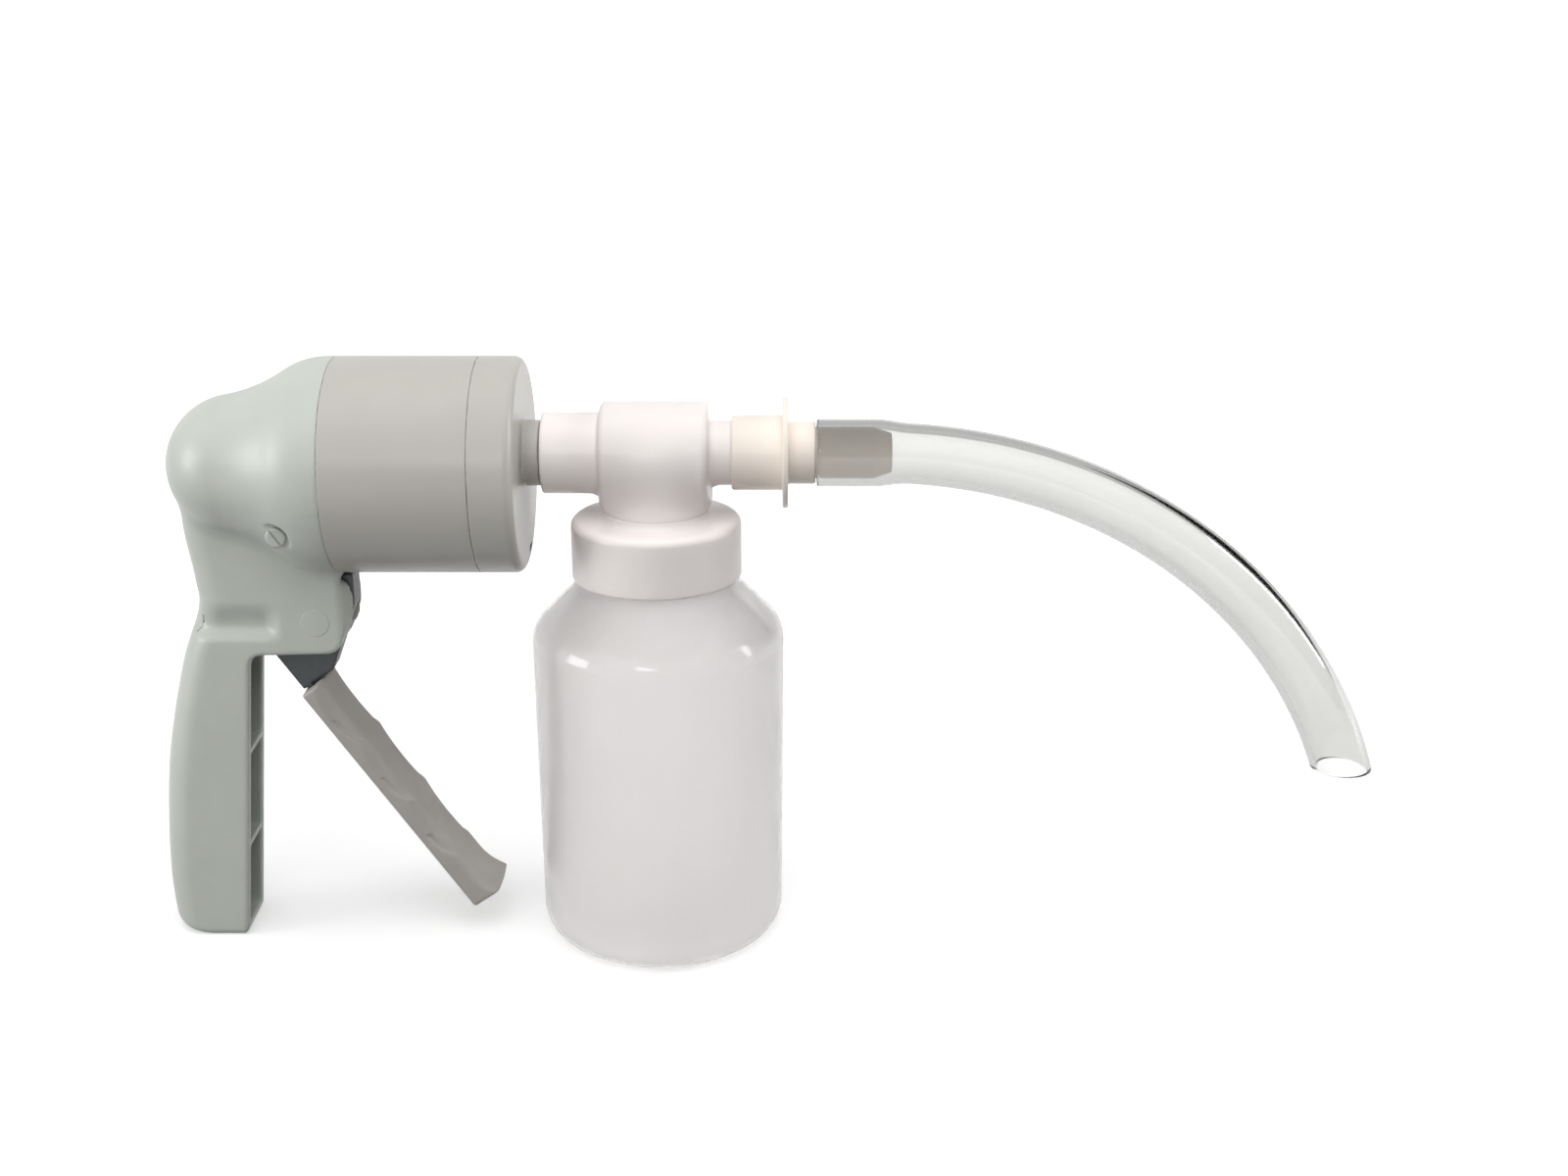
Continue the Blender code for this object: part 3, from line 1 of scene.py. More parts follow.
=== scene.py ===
"""Looks of a hand-held manual suction pump with a collection bottle and a preformed suction tube.

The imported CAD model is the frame. Every piece that shows is worked out again here as a fine surface in
that frame and dressed with a finish. Sizes in the classes are millimetres, and the meshes are metres.
"""

import logging
import math
from collections.abc import Callable, Sequence
from dataclasses import dataclass, field
from enum import Enum

import bmesh
import bpy
import numpy as np
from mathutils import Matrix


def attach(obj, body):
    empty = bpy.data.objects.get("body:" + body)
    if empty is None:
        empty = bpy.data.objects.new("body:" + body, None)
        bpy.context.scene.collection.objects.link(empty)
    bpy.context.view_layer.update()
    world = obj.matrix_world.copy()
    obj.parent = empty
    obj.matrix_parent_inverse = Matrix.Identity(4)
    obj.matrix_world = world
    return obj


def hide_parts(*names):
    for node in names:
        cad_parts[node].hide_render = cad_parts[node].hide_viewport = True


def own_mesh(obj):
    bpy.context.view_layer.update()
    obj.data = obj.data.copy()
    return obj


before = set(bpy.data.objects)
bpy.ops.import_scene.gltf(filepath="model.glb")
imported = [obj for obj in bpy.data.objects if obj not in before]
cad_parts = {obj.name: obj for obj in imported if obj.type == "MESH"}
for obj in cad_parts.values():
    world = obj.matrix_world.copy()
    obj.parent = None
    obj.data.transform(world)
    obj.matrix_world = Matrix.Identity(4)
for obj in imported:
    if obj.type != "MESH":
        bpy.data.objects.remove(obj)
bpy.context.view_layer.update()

Array = np.ndarray
Field = Callable[[Array, Array, Array], Array]
LOG = logging.getLogger("suction_pump")
MM = 0.001
WELD_MM = 0.002
SHARP_EDGE = math.radians(38)
ROUND_STEPS = 224
# How a skin settles on its field: step for the slope and longest move, in cells, and the least slope.
SETTLE_ROUNDS, SLOPE_STEP, LONGEST_MOVE, LEAST_SLOPE = 4, 0.02, 0.6, 0.2
# Spans of a noise's values, which crowd round one half, that colours and gloss are spread over.
CLOUD_SPAN = (0.32, 0.68)
GRAIN_SPAN = (0.3, 0.7)
# Detail and roughness of the two noises.
CLOUD_NOISE = (3.0, 0.55)
GRAIN_NOISE = (2.0, 0.5)
WHITE, BLACK = (1.0, 1.0, 1.0, 1.0), (0.0, 0.0, 0.0, 1.0)


# Shapes


class Axis(Enum):
    """Lines that a turned piece may stand on."""

    X = "x"
    Z = "z"


@dataclass
class Shell:
    """One closed skin: points in millimetres and four-cornered faces."""

    points: Array
    faces: Array

    def outward(self) -> "Shell":
        """The skin with its faces turned to point outwards, judged by the sign of the space inside."""
        a, b, c, d = (self.points[self.faces[:, i]] for i in range(4))
        space = np.einsum("ij,ij->", a, np.cross(b, c)) + np.einsum("ij,ij->", a, np.cross(c, d))
        return self if space > 0 else Shell(self.points, self.faces[:, ::-1])


def woven(points: Array, wrap_rows: bool, wrap_columns: bool = True) -> Shell:
    """Faces between neighbours on a grid of points.

    Args:
        points: grid of rows and columns of points.
        wrap_rows: whether the last row joins the first.
        wrap_columns: whether the last column joins the first.

    Returns:
        The skin, with its faces outwards.
    """
    rows, columns = points.shape[:2]
    i = np.arange(rows if wrap_rows else rows - 1)[:, None]
    j = np.arange(columns if wrap_columns else columns - 1)[None]
    up, on = (i + 1) % rows, (j + 1) % columns
    corners = [i * columns + j, i * columns + on, up * columns + on, up * columns + j]
    faces = np.stack(np.broadcast_arrays(*corners), axis=-1).reshape(-1, 4)
    return Shell(points.reshape(-1, 3), faces).outward()


def fillet(corners: Sequence[tuple[float, float, float]], closed: bool = True, steps: int = 7) -> Array:
    """Points of an outline whose corners are rounded by arcs.

    Each arc touches both sides of its corner: its centre lies on the line that halves the angle, at
    the radius over the sine of half that angle.

    Args:
        corners: (first, second, radius) of each corner.
        closed: whether the last corner joins the first.
        steps: pieces of each arc.

    Returns:
        Array of (first, second) points.
    """
    place = np.array([c[:2] for c in corners], float)
    runs = []
    for i, (*_, radius) in enumerate(corners):
        if radius == 0 or (not closed and i in (0, len(corners) - 1)):
            runs.append(place[i : i + 1])
            continue
        before, after = place[i - 1] - place[i], place[(i + 1) % len(place)] - place[i]
        before, after = before / np.linalg.norm(before), after / np.linalg.norm(after)
        half = math.acos(float(np.clip(before @ after, -1, 1))) / 2
        middle = (before + after) / np.linalg.norm(before + after)
        centre = place[i] + middle * radius / math.sin(half)
        first, last = (place[i] + way * radius / math.tan(half) - centre for way in (before, after))
        start = math.atan2(first[1], first[0])
        sweep = (math.atan2(last[1], last[0]) - start + math.pi) % math.tau - math.pi
        angle = start + sweep * np.linspace(0, 1, steps + 1)
        runs.append(centre + radius * np.stack([np.cos(angle), np.sin(angle)], axis=1))
    return np.concatenate(runs)


def spread(profile: Array, longest: float, closed: bool) -> Array:
    """The outline with extra points on its long sides, evenly spaced and at most that far apart."""
    ends = np.roll(profile, -1, axis=0) if closed else profile[1:]
    starts = profile if closed else profile[:-1]
    runs = []
    for a, b in zip(starts, ends):
        pieces = max(1, math.ceil(np.linalg.norm(b - a) / longest))
        runs.append(a + (b - a) * np.linspace(0, 1, pieces, endpoint=False)[:, None])
    return np.concatenate(runs if closed else [*runs, profile[-1:]])


def turned(
    profile: Array, axis: Axis, at: tuple[float, float], closed: bool = True, steps: int = ROUND_STEPS
) -> Shell:
    """A profile of (radius, height) carried round a line.

    The point at angle t lies at radius times cosine and sine of t across the line, and at its height
    along it.

    Args:
        profile: (radius, height) points, closed on themselves or from axis to axis.
        axis: direction of the line.
        at: (y, z) of a line along X, or (x, y) of a line along Z.
        closed: whether the profile's last point joins its first.
        steps: columns round the line.

    Returns:
        The skin.
    """
    angle = np.linspace(0, math.tau, steps, endpoint=False)
    radius, height = profile[:, :1], np.repeat(profile[:, 1:], steps, axis=1)
    across, up = radius * np.cos(angle) + at[0], radius * np.sin(angle) + at[1]
    order = (height, across, up) if axis is Axis.X else (across, up, height)
    return woven(np.stack(order, axis=-1), wrap_rows=closed)


def carried(path: Array, normal: Array, side: Array, radius: Array, steps: int, closed: bool) -> Shell:
    """A circle carried along a path: place plus radius times (cosine of t by normal + sine of t by side).

    Args:
        path: centre of each row, or of each point of each row.
        normal: first direction across the path.
        side: second direction across the path.
        radius: radius of each row.
        steps: columns round the path.
        closed: whether the last row joins the first.

    Returns:
        The skin.
    """
    angle = np.linspace(0, math.tau, steps, endpoint=False)[None, :, None]
    ring = np.cos(angle) * normal[:, None] + np.sin(angle) * side[:, None]
    return woven(path[:, None] + radius[:, None, None] * ring, wrap_rows=closed)


def eased(t: Array) -> Array:
    """Rises from 0 to 1 as t does, level at both ends."""
    t = np.clip(t, 0, 1)
    return t * t * (3 - 2 * t)


def joined(a: Array, b: Array, radius: float) -> Array:
    """Distance to two solids together, with a hollow fillet of that radius between them."""
    corner = np.hypot(np.maximum(radius - a, 0), np.maximum(radius - b, 0))
    return np.maximum(np.minimum(a, b), radius) - corner


def common(a: Array, b: Array, radius: float) -> Array:
    """Distance to what two solids share, with its edge rounded to that radius."""
    corner = np.hypot(np.maximum(radius + a, 0), np.maximum(radius + b, 0))
    return np.minimum(np.maximum(a, b), -radius) + corner


def cut(a: Array, b: Array, radius: float) -> Array:
    """Distance to the first solid less the second, with the cut's edge rounded to that radius."""
    return common(a, -b, radius)


def outline_distance(u: Array, w: Array, outline: Array) -> Array:
    """Signed distance to a closed flat outline, below 0 inside.

    The distance is the least one to any side. A point is inside where a ray from it crosses an odd
    number of sides.

    Args:
        u: first coordinate of the points.
        w: second coordinate of the points.
        outline: corners in order.

    Returns:
        The distance at each point.
    """
    near = np.full(np.broadcast(u, w).shape, np.inf)
    inside = np.zeros(near.shape, bool)
    for (au, aw), (bu, bw) in zip(outline, np.roll(outline, -1, axis=0)):
        du, dw = bu - au, bw - aw
        share = np.clip(((u - au) * du + (w - aw) * dw) / (du * du + dw * dw + 1e-12), 0, 1)
        near = np.minimum(near, (u - au - share * du) ** 2 + (w - aw - share * dw) ** 2)
        if dw:
            inside ^= ((aw > w) != (bw > w)) & (u < au + du * (w - aw) / dw)
    return np.where(inside, -1, 1) * np.sqrt(near)


def skinned(shape: Field, low: Sequence[float], high: Sequence[float], cell: float) -> Shell:
    """Skin where a distance field passes 0, for a moulding of blended forms.

    The field is worked out on a grid of cells. Each cell that it passes through holds one point, first at
    the mean of the crossings on its edges. Each crossed edge joins the four points round it by a face.
    Then the points move along the field's slope onto the surface itself.

    Args:
        shape: field of x, y and z in millimetres, below 0 inside.
        low: lowest corner of the grid.
        high: highest corner of the grid.
        cell: size of a cell.

    Returns:
        The skin.
    """
    axes = [np.arange(a - cell, b + 2 * cell, cell) for a, b in zip(low, high)]
    value = np.asarray(shape(*np.meshgrid(*axes, indexing="ij", sparse=True)))
    inside = value < 0
    size = np.array(value.shape) - 1
    corners = np.array(np.meshgrid(*[(0, 1)] * 3, indexing="ij")).reshape(3, 8).T
    views = [tuple(slice(c, c + n) for c, n in zip(corner, size)) for corner in corners]
    filled = sum(inside[view].astype(np.int8) for view in views)
    active = (filled > 0) & (filled < 8)
    place = np.argwhere(active)
    held = np.stack([value[view][active] for view in views], axis=1)
    total, count = np.zeros((len(place), 3)), np.zeros(len(place))
    edges = [(a, b) for a in range(8) for b in range(a + 1, 8) if abs(corners[a] - corners[b]).sum() == 1]
    for a, b in edges:
        crossed = (held[:, a] < 0) != (held[:, b] < 0)
        share = held[:, a] / np.where(crossed, held[:, a] - held[:, b], 1)
        total += np.where(crossed[:, None], corners[a] + share[:, None] * (corners[b] - corners[a]), 0)
        count += crossed
    points = np.array([a[0] for a in axes]) + cell * (place + total / count[:, None])
    number = np.full(active.shape, -1)
    number[active] = np.arange(len(place))
    faces = []
    for way in range(3):
        first, second = (way + 1) % 3, (way + 2) % 3
        ends = [slice(None)] * 3, [slice(None)] * 3
        ends[0][way], ends[1][way] = slice(0, -1), slice(1, None)
        start, end = inside[tuple(ends[0])], inside[tuple(ends[1])]
        at = np.argwhere(start != end)
        rising = start[tuple(at.T)]
        around = []
        for back_first, back_second in ((1, 1), (0, 1), (0, 0), (1, 0)):
            beside = at.copy()
            beside[:, first] -= back_first
            beside[:, second] -= back_second
            around.append(number[tuple(beside.T)])
        quad = np.stack(around, axis=1)
        faces.append(np.where(rising[:, None], quad, quad[:, ::-1]))
    nudge, longest = SLOPE_STEP * cell, LONGEST_MOVE * cell
    steps = nudge * np.eye(3)
    for _ in range(SETTLE_ROUNDS):
        here = shape(*points.T)
        climbs = [shape(*(points + s).T) - shape(*(points - s).T) for s in steps]
        slope = np.stack(climbs, axis=1) / (2 * nudge)
        move = here[:, None] * slope / np.maximum((slope**2).sum(axis=1, keepdims=True), LEAST_SLOPE)
        points = points - np.clip(move, -longest, longest)
    return Shell(points, np.concatenate(faces)).outward()


# Finishes


def linear(code: str) -> tuple[float, float, float, float]:
    """Linear colour of an sRGB hex code such as #a0b0c0."""
    parts = np.array([int(code[i : i + 2], 16) for i in (1, 3, 5)]) / 255
    light = np.where(parts <= 0.04045, parts / 12.92, ((parts + 0.055) / 1.055) ** 2.4)
    return (*(float(x) for x in light), 1.0)


def add(
    tree: bpy.types.NodeTree, kind: str, values: dict | None = None, **settings: object
) -> bpy.types.Node:
    """Adds a node.

    Args:
        tree: tree that takes the node.
        kind: Blender's name for the kind of node.
        values: what each input gets, by name or number: a value, or the socket that is linked to it.
        settings: the node's own settings.

    Returns:
        The node.
    """
    node = tree.nodes.new(kind)
    for name, setting in settings.items():
        setattr(node, name, setting)
    for key, value in (values or {}).items():
        if isinstance(value, bpy.types.NodeSocket):
            tree.links.new(value, node.inputs[key])
        else:
            node.inputs[key].default_value = value
    return node


@dataclass(frozen=True)
class Finish:
    """How a surface was made and what that gives the eye.

    Two colours drift into each other in clouds. A finer grain varies the gloss and stands on the surface
    as relief. Sizes are millimetres on the piece, and absorption is per metre of the plastic.
    """

    name: str
    colour: str
    drift: str
    cloud_mm: float
    roughness: tuple[float, float]
    grain_mm: float
    grain_depth_mm: float
    ior: float = 1.5
    metallic: float = 0.0
    stretch: tuple[float, float, float] = (1.0, 1.0, 1.0)
    transmission: float = 0.0
    absorption: float = 0.0
    coat: float = 0.0
    coat_roughness: float = 0.1

    def make(self) -> bpy.types.Material:
        """Builds the node material, once for each finish."""
        if self.name in bpy.data.materials:
            return bpy.data.materials[self.name]
        material = bpy.data.materials.new(self.name)
        material.use_nodes = True
        tree = material.node_tree
        shader = tree.nodes["Principled BSDF"]
        place = add(tree, "ShaderNodeTexCoord").outputs["Object"]
        drawn = add(tree, "ShaderNodeMapping", {"Vector": place, "Scale": self.stretch}).outputs["Vector"]
        cloud, grain = (
            add(
                tree,
                "ShaderNodeTexNoise",
                {"Vector": drawn, "Scale": 1 / (size * MM), "Detail": detail, "Roughness": roughness},
            ).outputs["Fac"]
            for size, (detail, roughness) in ((self.cloud_mm, CLOUD_NOISE), (self.grain_mm, GRAIN_NOISE))
        )
        colours = add(tree, "ShaderNodeValToRGB", {"Fac": cloud})
        for stop, at, code in zip(colours.color_ramp.elements, CLOUD_SPAN, (self.drift, self.colour)):
            stop.position, stop.color = at, linear(code)
        spans = dict(zip(("From Min", "From Max", "To Min", "To Max"), (*GRAIN_SPAN, *self.roughness)))
        gloss = add(tree, "ShaderNodeMapRange", {"Value": grain, **spans})
        depth = self.grain_depth_mm * MM
        relief = add(tree, "ShaderNodeBump", {"Height": grain, "Distance": depth, "Strength": 1.0})
        tree.links.new(colours.outputs["Color"], shader.inputs["Base Color"])
        tree.links.new(gloss.outputs["Result"], shader.inputs["Roughness"])
        tree.links.new(relief.outputs["Normal"], shader.inputs["Normal"])
        constants = {
            "IOR": self.ior,
            "Metallic": self.metallic,
            "Transmission Weight": self.transmission,
            "Coat Weight": self.coat,
            "Coat Roughness": self.coat_roughness,
        }
        for socket, value in constants.items():
            shader.inputs[socket].default_value = value
        if self.absorption:
            tint = add(tree, "ShaderNodeVolumeAbsorption", {"Color": BLACK, "Density": self.absorption})
            tree.links.new(tint.outputs["Volume"], tree.nodes["Material Output"].inputs["Volume"])
        return material


# ABS from a spark-eroded mould: an even satin skin whose matt pits, a tenth of a millimetre wide, are
# drawn at half a millimetre so that they show; the grey drifts a little where the melt flowed.
HOUSING = Finish("abs_satin_moulded_green_grey", "#c5cac2", "#c0c5bd", 14, (0.34, 0.44), 0.5, 0.006, 1.54)
# ABS of a second mould, warmer and a little glossier.
BARREL = Finish("abs_satin_moulded_warm_grey", "#bdbab4", "#b9b6b0", 16, (0.30, 0.40), 0.5, 0.005, 1.54)
# Black glass-filled nylon: fibres near the skin dull its shine in specks.
NYLON = Finish("nylon_glass_filled_black", "#3c4142", "#343839", 5, (0.38, 0.55), 0.6, 0.012, 1.53)
# Thermoplastic elastomer: matt, warm and slightly uneven where hands and mould have dulled it.
ELASTOMER = Finish("elastomer_matt_moulded", "#b3b0aa", "#ada9a3", 9, (0.50, 0.64), 0.7, 0.012, 1.48)
# White polypropylene: waxy and faintly warm, too thick here to see through, shines softly.
POLYPROPYLENE = Finish("polypropylene_waxy_white", "#f6f0ed", "#f3ece9", 14, (0.29, 0.36), 1.2, 0.003, 1.49)
# Blow-moulded polyethylene: milky, light spreads in its thin wall, whose thickness drifts in upright
# bands where the parison stretched; the coat is its smooth outer skin, which shows the lamps sharply.
POLYETHYLENE = Finish(
    "polyethylene_blown_milky",
    "#eeecec",
    "#ebe9e8",
    13,
    (0.64, 0.72),
    2.4,
    0.004,
    1.5,
    stretch=(1.0, 1.0, 0.25),
    transmission=0.9,
    coat=0.8,
    coat_roughness=0.06,
)
# Ivory PVC: dense, faintly yellow and smooth from a polished mould.
IVORY = Finish("pvc_moulded_ivory", "#f9f0e6", "#f6ece0", 24, (0.29, 0.36), 3.0, 0.002, 1.53)
# Clear PVC tube: drawn through a die, so that its faint ripples are long and shallow.
CLEAR = Finish(
    "pvc_clear_extruded",
    "#fafaf8",
    "#f8f8f6",
    20,
    (0.04, 0.07),
    9.0,
    0.003,
    1.5,
    transmission=1.0,
    absorption=200.0,
)
# Nitrile rubber: black and dusty.
RUBBER = Finish("rubber_nitrile_black", "#232323", "#2d2c2b", 3, (0.6, 0.8), 0.4, 0.01, 1.52)
# Silicone: brick red, soft sheen.
SILICONE = Finish("silicone_moulded_red", "#b5624f", "#a85a49", 3, (0.45, 0.6), 0.4, 0.006, 1.41)
# Acetal: hard, slippery and off-white, with fine marks from turning.
ACETAL = Finish(
    "acetal_turned_natural", "#e3e2db", "#d9d8d0", 4, (0.3, 0.42), 0.4, 0.006, 1.48, stretch=(4.0, 1.0, 1.0)
)
# Lacquered steel: the screw heads wear the housing's grey, a little smoother than the moulding.
PAINTED = Finish("steel_lacquered_green_grey", "#c1c5be", "#bbbfb8", 3, (0.30, 0.42), 0.5, 0.004, 1.5)
# Zinc-plated steel: bright grey, brushed fine by barrel finishing.
STEEL = Finish("steel_zinc_plated", "#a5a6a8", "#8f9092", 2, (0.28, 0.45), 0.3, 0.004, metallic=1.0)


def placed(
    name: str, shells: Sequence[Shell], finish: Finish, body: str, slot: str, *nodes: str
) -> bpy.types.Object:
    """Puts skins into one smooth-shaded piece and ties it to the frame.

    Args:
        name: name of the piece.
        shells: its closed skins.
        finish: its finish.
        body: CAD body that it rides on.
        slot: record's material slot; not used.
        nodes: CAD nodes that it stands for.

    Returns:
        The new object, at the origin.
    """
    starts = np.cumsum([0] + [len(s.points) for s in shells[:-1]])
    points = np.concatenate([s.points for s in shells]) * MM
    faces = np.concatenate([s.faces + start for s, start in zip(shells, starts)])
    mesh = bpy.data.meshes.new(name)
    mesh.vertices.add(len(points))
    mesh.vertices.foreach_set("co", points.astype(np.float32).ravel())
    mesh.loops.add(faces.size)
    mesh.loops.foreach_set("vertex_index", faces.astype(np.int32).ravel())
    mesh.polygons.add(len(faces))
    mesh.polygons.foreach_set("loop_start", np.arange(0, faces.size, 4, dtype=np.int32))
    mesh.update(calc_edges=True)
    shape = bmesh.new()
    shape.from_mesh(mesh)
    bmesh.ops.remove_doubles(shape, verts=shape.verts, dist=WELD_MM * MM)
    bmesh.ops.dissolve_degenerate(shape, edges=shape.edges, dist=WELD_MM * MM / 10)
    shape.to_mesh(mesh)
    shape.free()
    mesh.shade_smooth()
    mesh.set_sharp_from_angle(angle=SHARP_EDGE)
    mesh.materials.append(finish.make())
    obj = bpy.data.objects.new(name, mesh)
    bpy.context.scene.collection.objects.link(obj)
    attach(obj, body)
    if nodes:
        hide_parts(*nodes)
    LOG.info("%s: %d faces, %s, on %s", name, len(mesh.polygons), finish.name, body)
    return obj


# Sub-assemblies


@dataclass(frozen=True)
class Datum:
    """Lines and planes that the sub-assemblies share."""

    axis_z: float = 127.5
    seam_x: float = -107.0
    barrel_r: float = 27.0
    cap_seam_x: float = -71.5
    cap_front_x: float = -60.7
    pivot_x: float = -114.3
    pivot_z: float = 88.4
    port_z: float = 130.5
    trunk_x: float = -28.25
    gap: float = 0.3


@dataclass
class Housing:
    """Rear moulding of dome, neck, cheeks and hollow grip, with its screws and the lever's pin."""

    datum: Datum
    wall: float = 2.5
    dome_land: float = 2.0
    mouth_edge: float = 0.35
    inside_edge: float = 0.4
    dome_slope: float = math.radians(34)
    nose_slope: float = math.radians(10)
    nose_r: float = 17.8
    nose_behind: float = 25.0
    half_width: float = 8.8
    back_r: float = 7.5
    front_edge: float = 1.0
    foot_r: float = 5.0
    foot_edge: float = 2.0
    lean: float = math.radians(4.9)
    front_behind: float = 24.7
    back_wall: float = 3.0
    channel_half: float = 6.0
    channel_floor: float = 3.0
    channel_edge: float = 0.5
    web: float = 1.6
    web_drops: tuple[float, float] = (75.5, 102.0)
    slot_half: float = 5.0
    cheek_below: float = 9.0
    cheek_front: float = 0.6
    cheek_corner_r: float = 4.5
    cheek_inner_r: float = 3.0
    cheek_rise: float = 0.5
    lobe_reach: float = 2.8
    lobe_above: float = 5.1
    lobe_rise: float = 5.4
    lobe_fall: float = 9.5
    junction_r: float = 2.4
    hollow_depth: float = 2.1
    hollow_floor_below: float = 5.3
    hollow_ledge: float = 3.8
    hollow_height: float = 7.2
    hollow_front_behind: float = 15.5
    hollow_fade: float = 5.0
    screw_behind: float = 12.3
    screw_drop: float = 12.8
    screw_r: float = 2.6
    screw_head: float = 0.9
    screw_crown: float = 0.7
    screw_hem: float = 0.1
    screw_slot: float = 0.6
    screw_slot_depth: float = 0.7
    screw_slot_edge: float = 0.08
    screw_turn: float = 0.6
    screw_cell: float = 0.13
    recess_r: float = 3.3
    recess_floor: float = 20.1
    recess_rim: float = 1.1
    pin_r: float = 2.9
    button_r: float = 3.6
    button_proud: float = 0.14
    pin_steps: int = 96
    rearmost: float = 53.0
    cell: float = 0.58
    back: tuple[tuple[float, float], ...] = (
        (39.2, 4.0),
        (40.4, 14.0),
        (38.5, 29.0),
        (38.4, 37.0),
        (44.0, 53.0),
        (49.9, 79.5),
        (52.4, 109.0),
        (51.5, 129.0),
    )
    _dome: Array = field(init=False, repr=False)
    _back: Array = field(init=False, repr=False)

    def __post_init__(self) -> None:
        """Works out the dome's profile and the grip's back line once."""
        self._dome = self.dome_profile()
        self._back = self.back_curve()

    def dome_profile(self, steps: int = 60) -> Array:
        """Profile of the dome up to its round nose.

        A convex shoulder arc leaves the mouth's land level, and a hollow waist arc carries on to the
        nose. Both radii follow from the slopes where the arcs meet.

        Returns:
            Rows of distance behind the seam, radius and slope.
        """
        d = self.datum
        run = self.nose_behind + self.nose_r * math.sin(self.nose_slope) - self.dome_land
        fall = d.barrel_r - self.nose_r * math.cos(self.nose_slope)
        s, c, ns, nc = (f(a) for a in (self.dome_slope, self.nose_slope) for f in (math.sin, math.cos))
        shoulder, waist = np.linalg.solve([[s, s - ns], [1 - c, nc - c]], [run, fall])
        a = np.linspace(0, self.dome_slope, steps)
        b = np.linspace(self.dome_slope, self.nose_slope, steps)[1:]
        first = [self.dome_land + shoulder * np.sin(a), d.barrel_r - shoulder * (1 - np.cos(a)), a]
        last = [first[0][-1] + waist * (s - np.sin(b)), first[1][-1] - waist * (np.cos(b) - c), b]
        return np.concatenate([[[0, d.barrel_r, 0]], np.stack(first, axis=1), np.stack(last, axis=1)])

    def back_curve(self, steps: int = 24) -> Array:
        """Smooth curve of (behind the seam, drop) through the back's points, each span a cubic."""
        p = np.array(self.back)
        p = np.concatenate([2 * p[:1] - p[1:2], p, 2 * p[-1:] - p[-2:-1]])
        t = np.arange(steps)[None, :, None] / steps
        a, b, c, d = p[:-3, None], p[1:-2, None], p[2:-1, None], p[3:, None]
        spans = 2 * b + (c - a) * t + (2 * a - 5 * b + 4 * c - d) * t**2 + (3 * b - a - 3 * c + d) * t**3
        return np.concatenate([spans.reshape(-1, 2) / 2, p[-2:-1]])

    def back_x(self, z: Array) -> Array:
        """X of the grip's back at a height, drawn in by the foot's round corner."""
        x = self.datum.seam_x - np.interp(self.datum.axis_z - z, self._back[:, 1], self._back[:, 0])
        below = np.clip(self.foot_r - z, 0, self.foot_r)
        return x + self.foot_r - np.sqrt(self.foot_r**2 - below**2)

    def dome(self, x: Array, y: Array, z: Array) -> Array:
        """Distance to the dome: past its profile across the slope, or past the nose's sphere."""
        behind = self.datum.seam_x - x
        radius = np.hypot(y, z - self.datum.axis_z)
        edge = np.interp(behind, self._dome[:, 0], self._dome[:, 1])
        slope = np.interp(behind, self._dome[:, 0], self._dome[:, 2])
        nose = np.hypot(behind - self.nose_behind, radius) - self.nose_r
        return np.where(behind > self._dome[-1, 0], nose, (radius - edge) * np.cos(slope))

    def width(self, x: Array, z: Array) -> Array:
        """Half width of neck and grip, drawn in at the thumb hollows."""
        floor = self.datum.pivot_z - self.hollow_floor_below
        rise = eased((z - floor) / self.hollow_ledge)
        fade_up = 1 - eased((z - floor - self.hollow_ledge) / self.hollow_height)
        ahead = x - (self.datum.seam_x - self.hollow_front_behind - self.hollow_fade)
        return self.half_width - self.hollow_depth * rise * fade_up * (1 - eased(ahead / self.hollow_fade))

    def neck(self, x: Array, y: Array, z: Array) -> Array:
        """Distance to neck and grip: level sections with a round back between flat sides."""
        d = self.datum
        cheek_z = d.pivot_z - self.cheek_below
        width = self.width(x, z)
        ahead = x - self.back_x(z) - self.back_r
        section = (np.hypot(np.minimum(ahead, 0) / self.back_r, y / width) - 1) * width
        grip_x = d.seam_x - self.front_behind
        grip_front = (x - grip_x + (cheek_z - z) * math.tan(self.lean)) * math.cos(self.lean)
        rise = self.cheek_rise * (x - grip_x) / (self.front_behind - self.cheek_front)
        above = z > d.pivot_z + self.lobe_above
        level = (z - d.pivot_z - self.lobe_above) / np.where(above, self.lobe_rise, self.lobe_fall)
        lobe = self.lobe_reach * np.sqrt(np.clip(1 - level**2, 0, 1))
        inward = np.clip((self.half_width - np.abs(y)) / (self.half_width - self.slot_half), 0, 1)
        ahead_of_cheek = x - d.seam_x + self.cheek_front - lobe * inward
        cheek = common(ahead_of_cheek, cheek_z + rise - z, self.cheek_corner_r)
        front = joined(grip_front, cheek, self.cheek_inner_r)
        top = d.axis_z - self.back[0][1]
        return np.maximum(common(common(section, front, self.front_edge), -z, self.foot_edge), z - top)

    def channel(self, y: Array, z: Array, ahead: Array, half: float, low: float, high: float) -> Array:
        """Distance to a space inside the grip, between two heights and ahead of the back wall."""
        return np.maximum(np.maximum(np.abs(y) - half, -ahead), np.maximum(low - z, z - high))

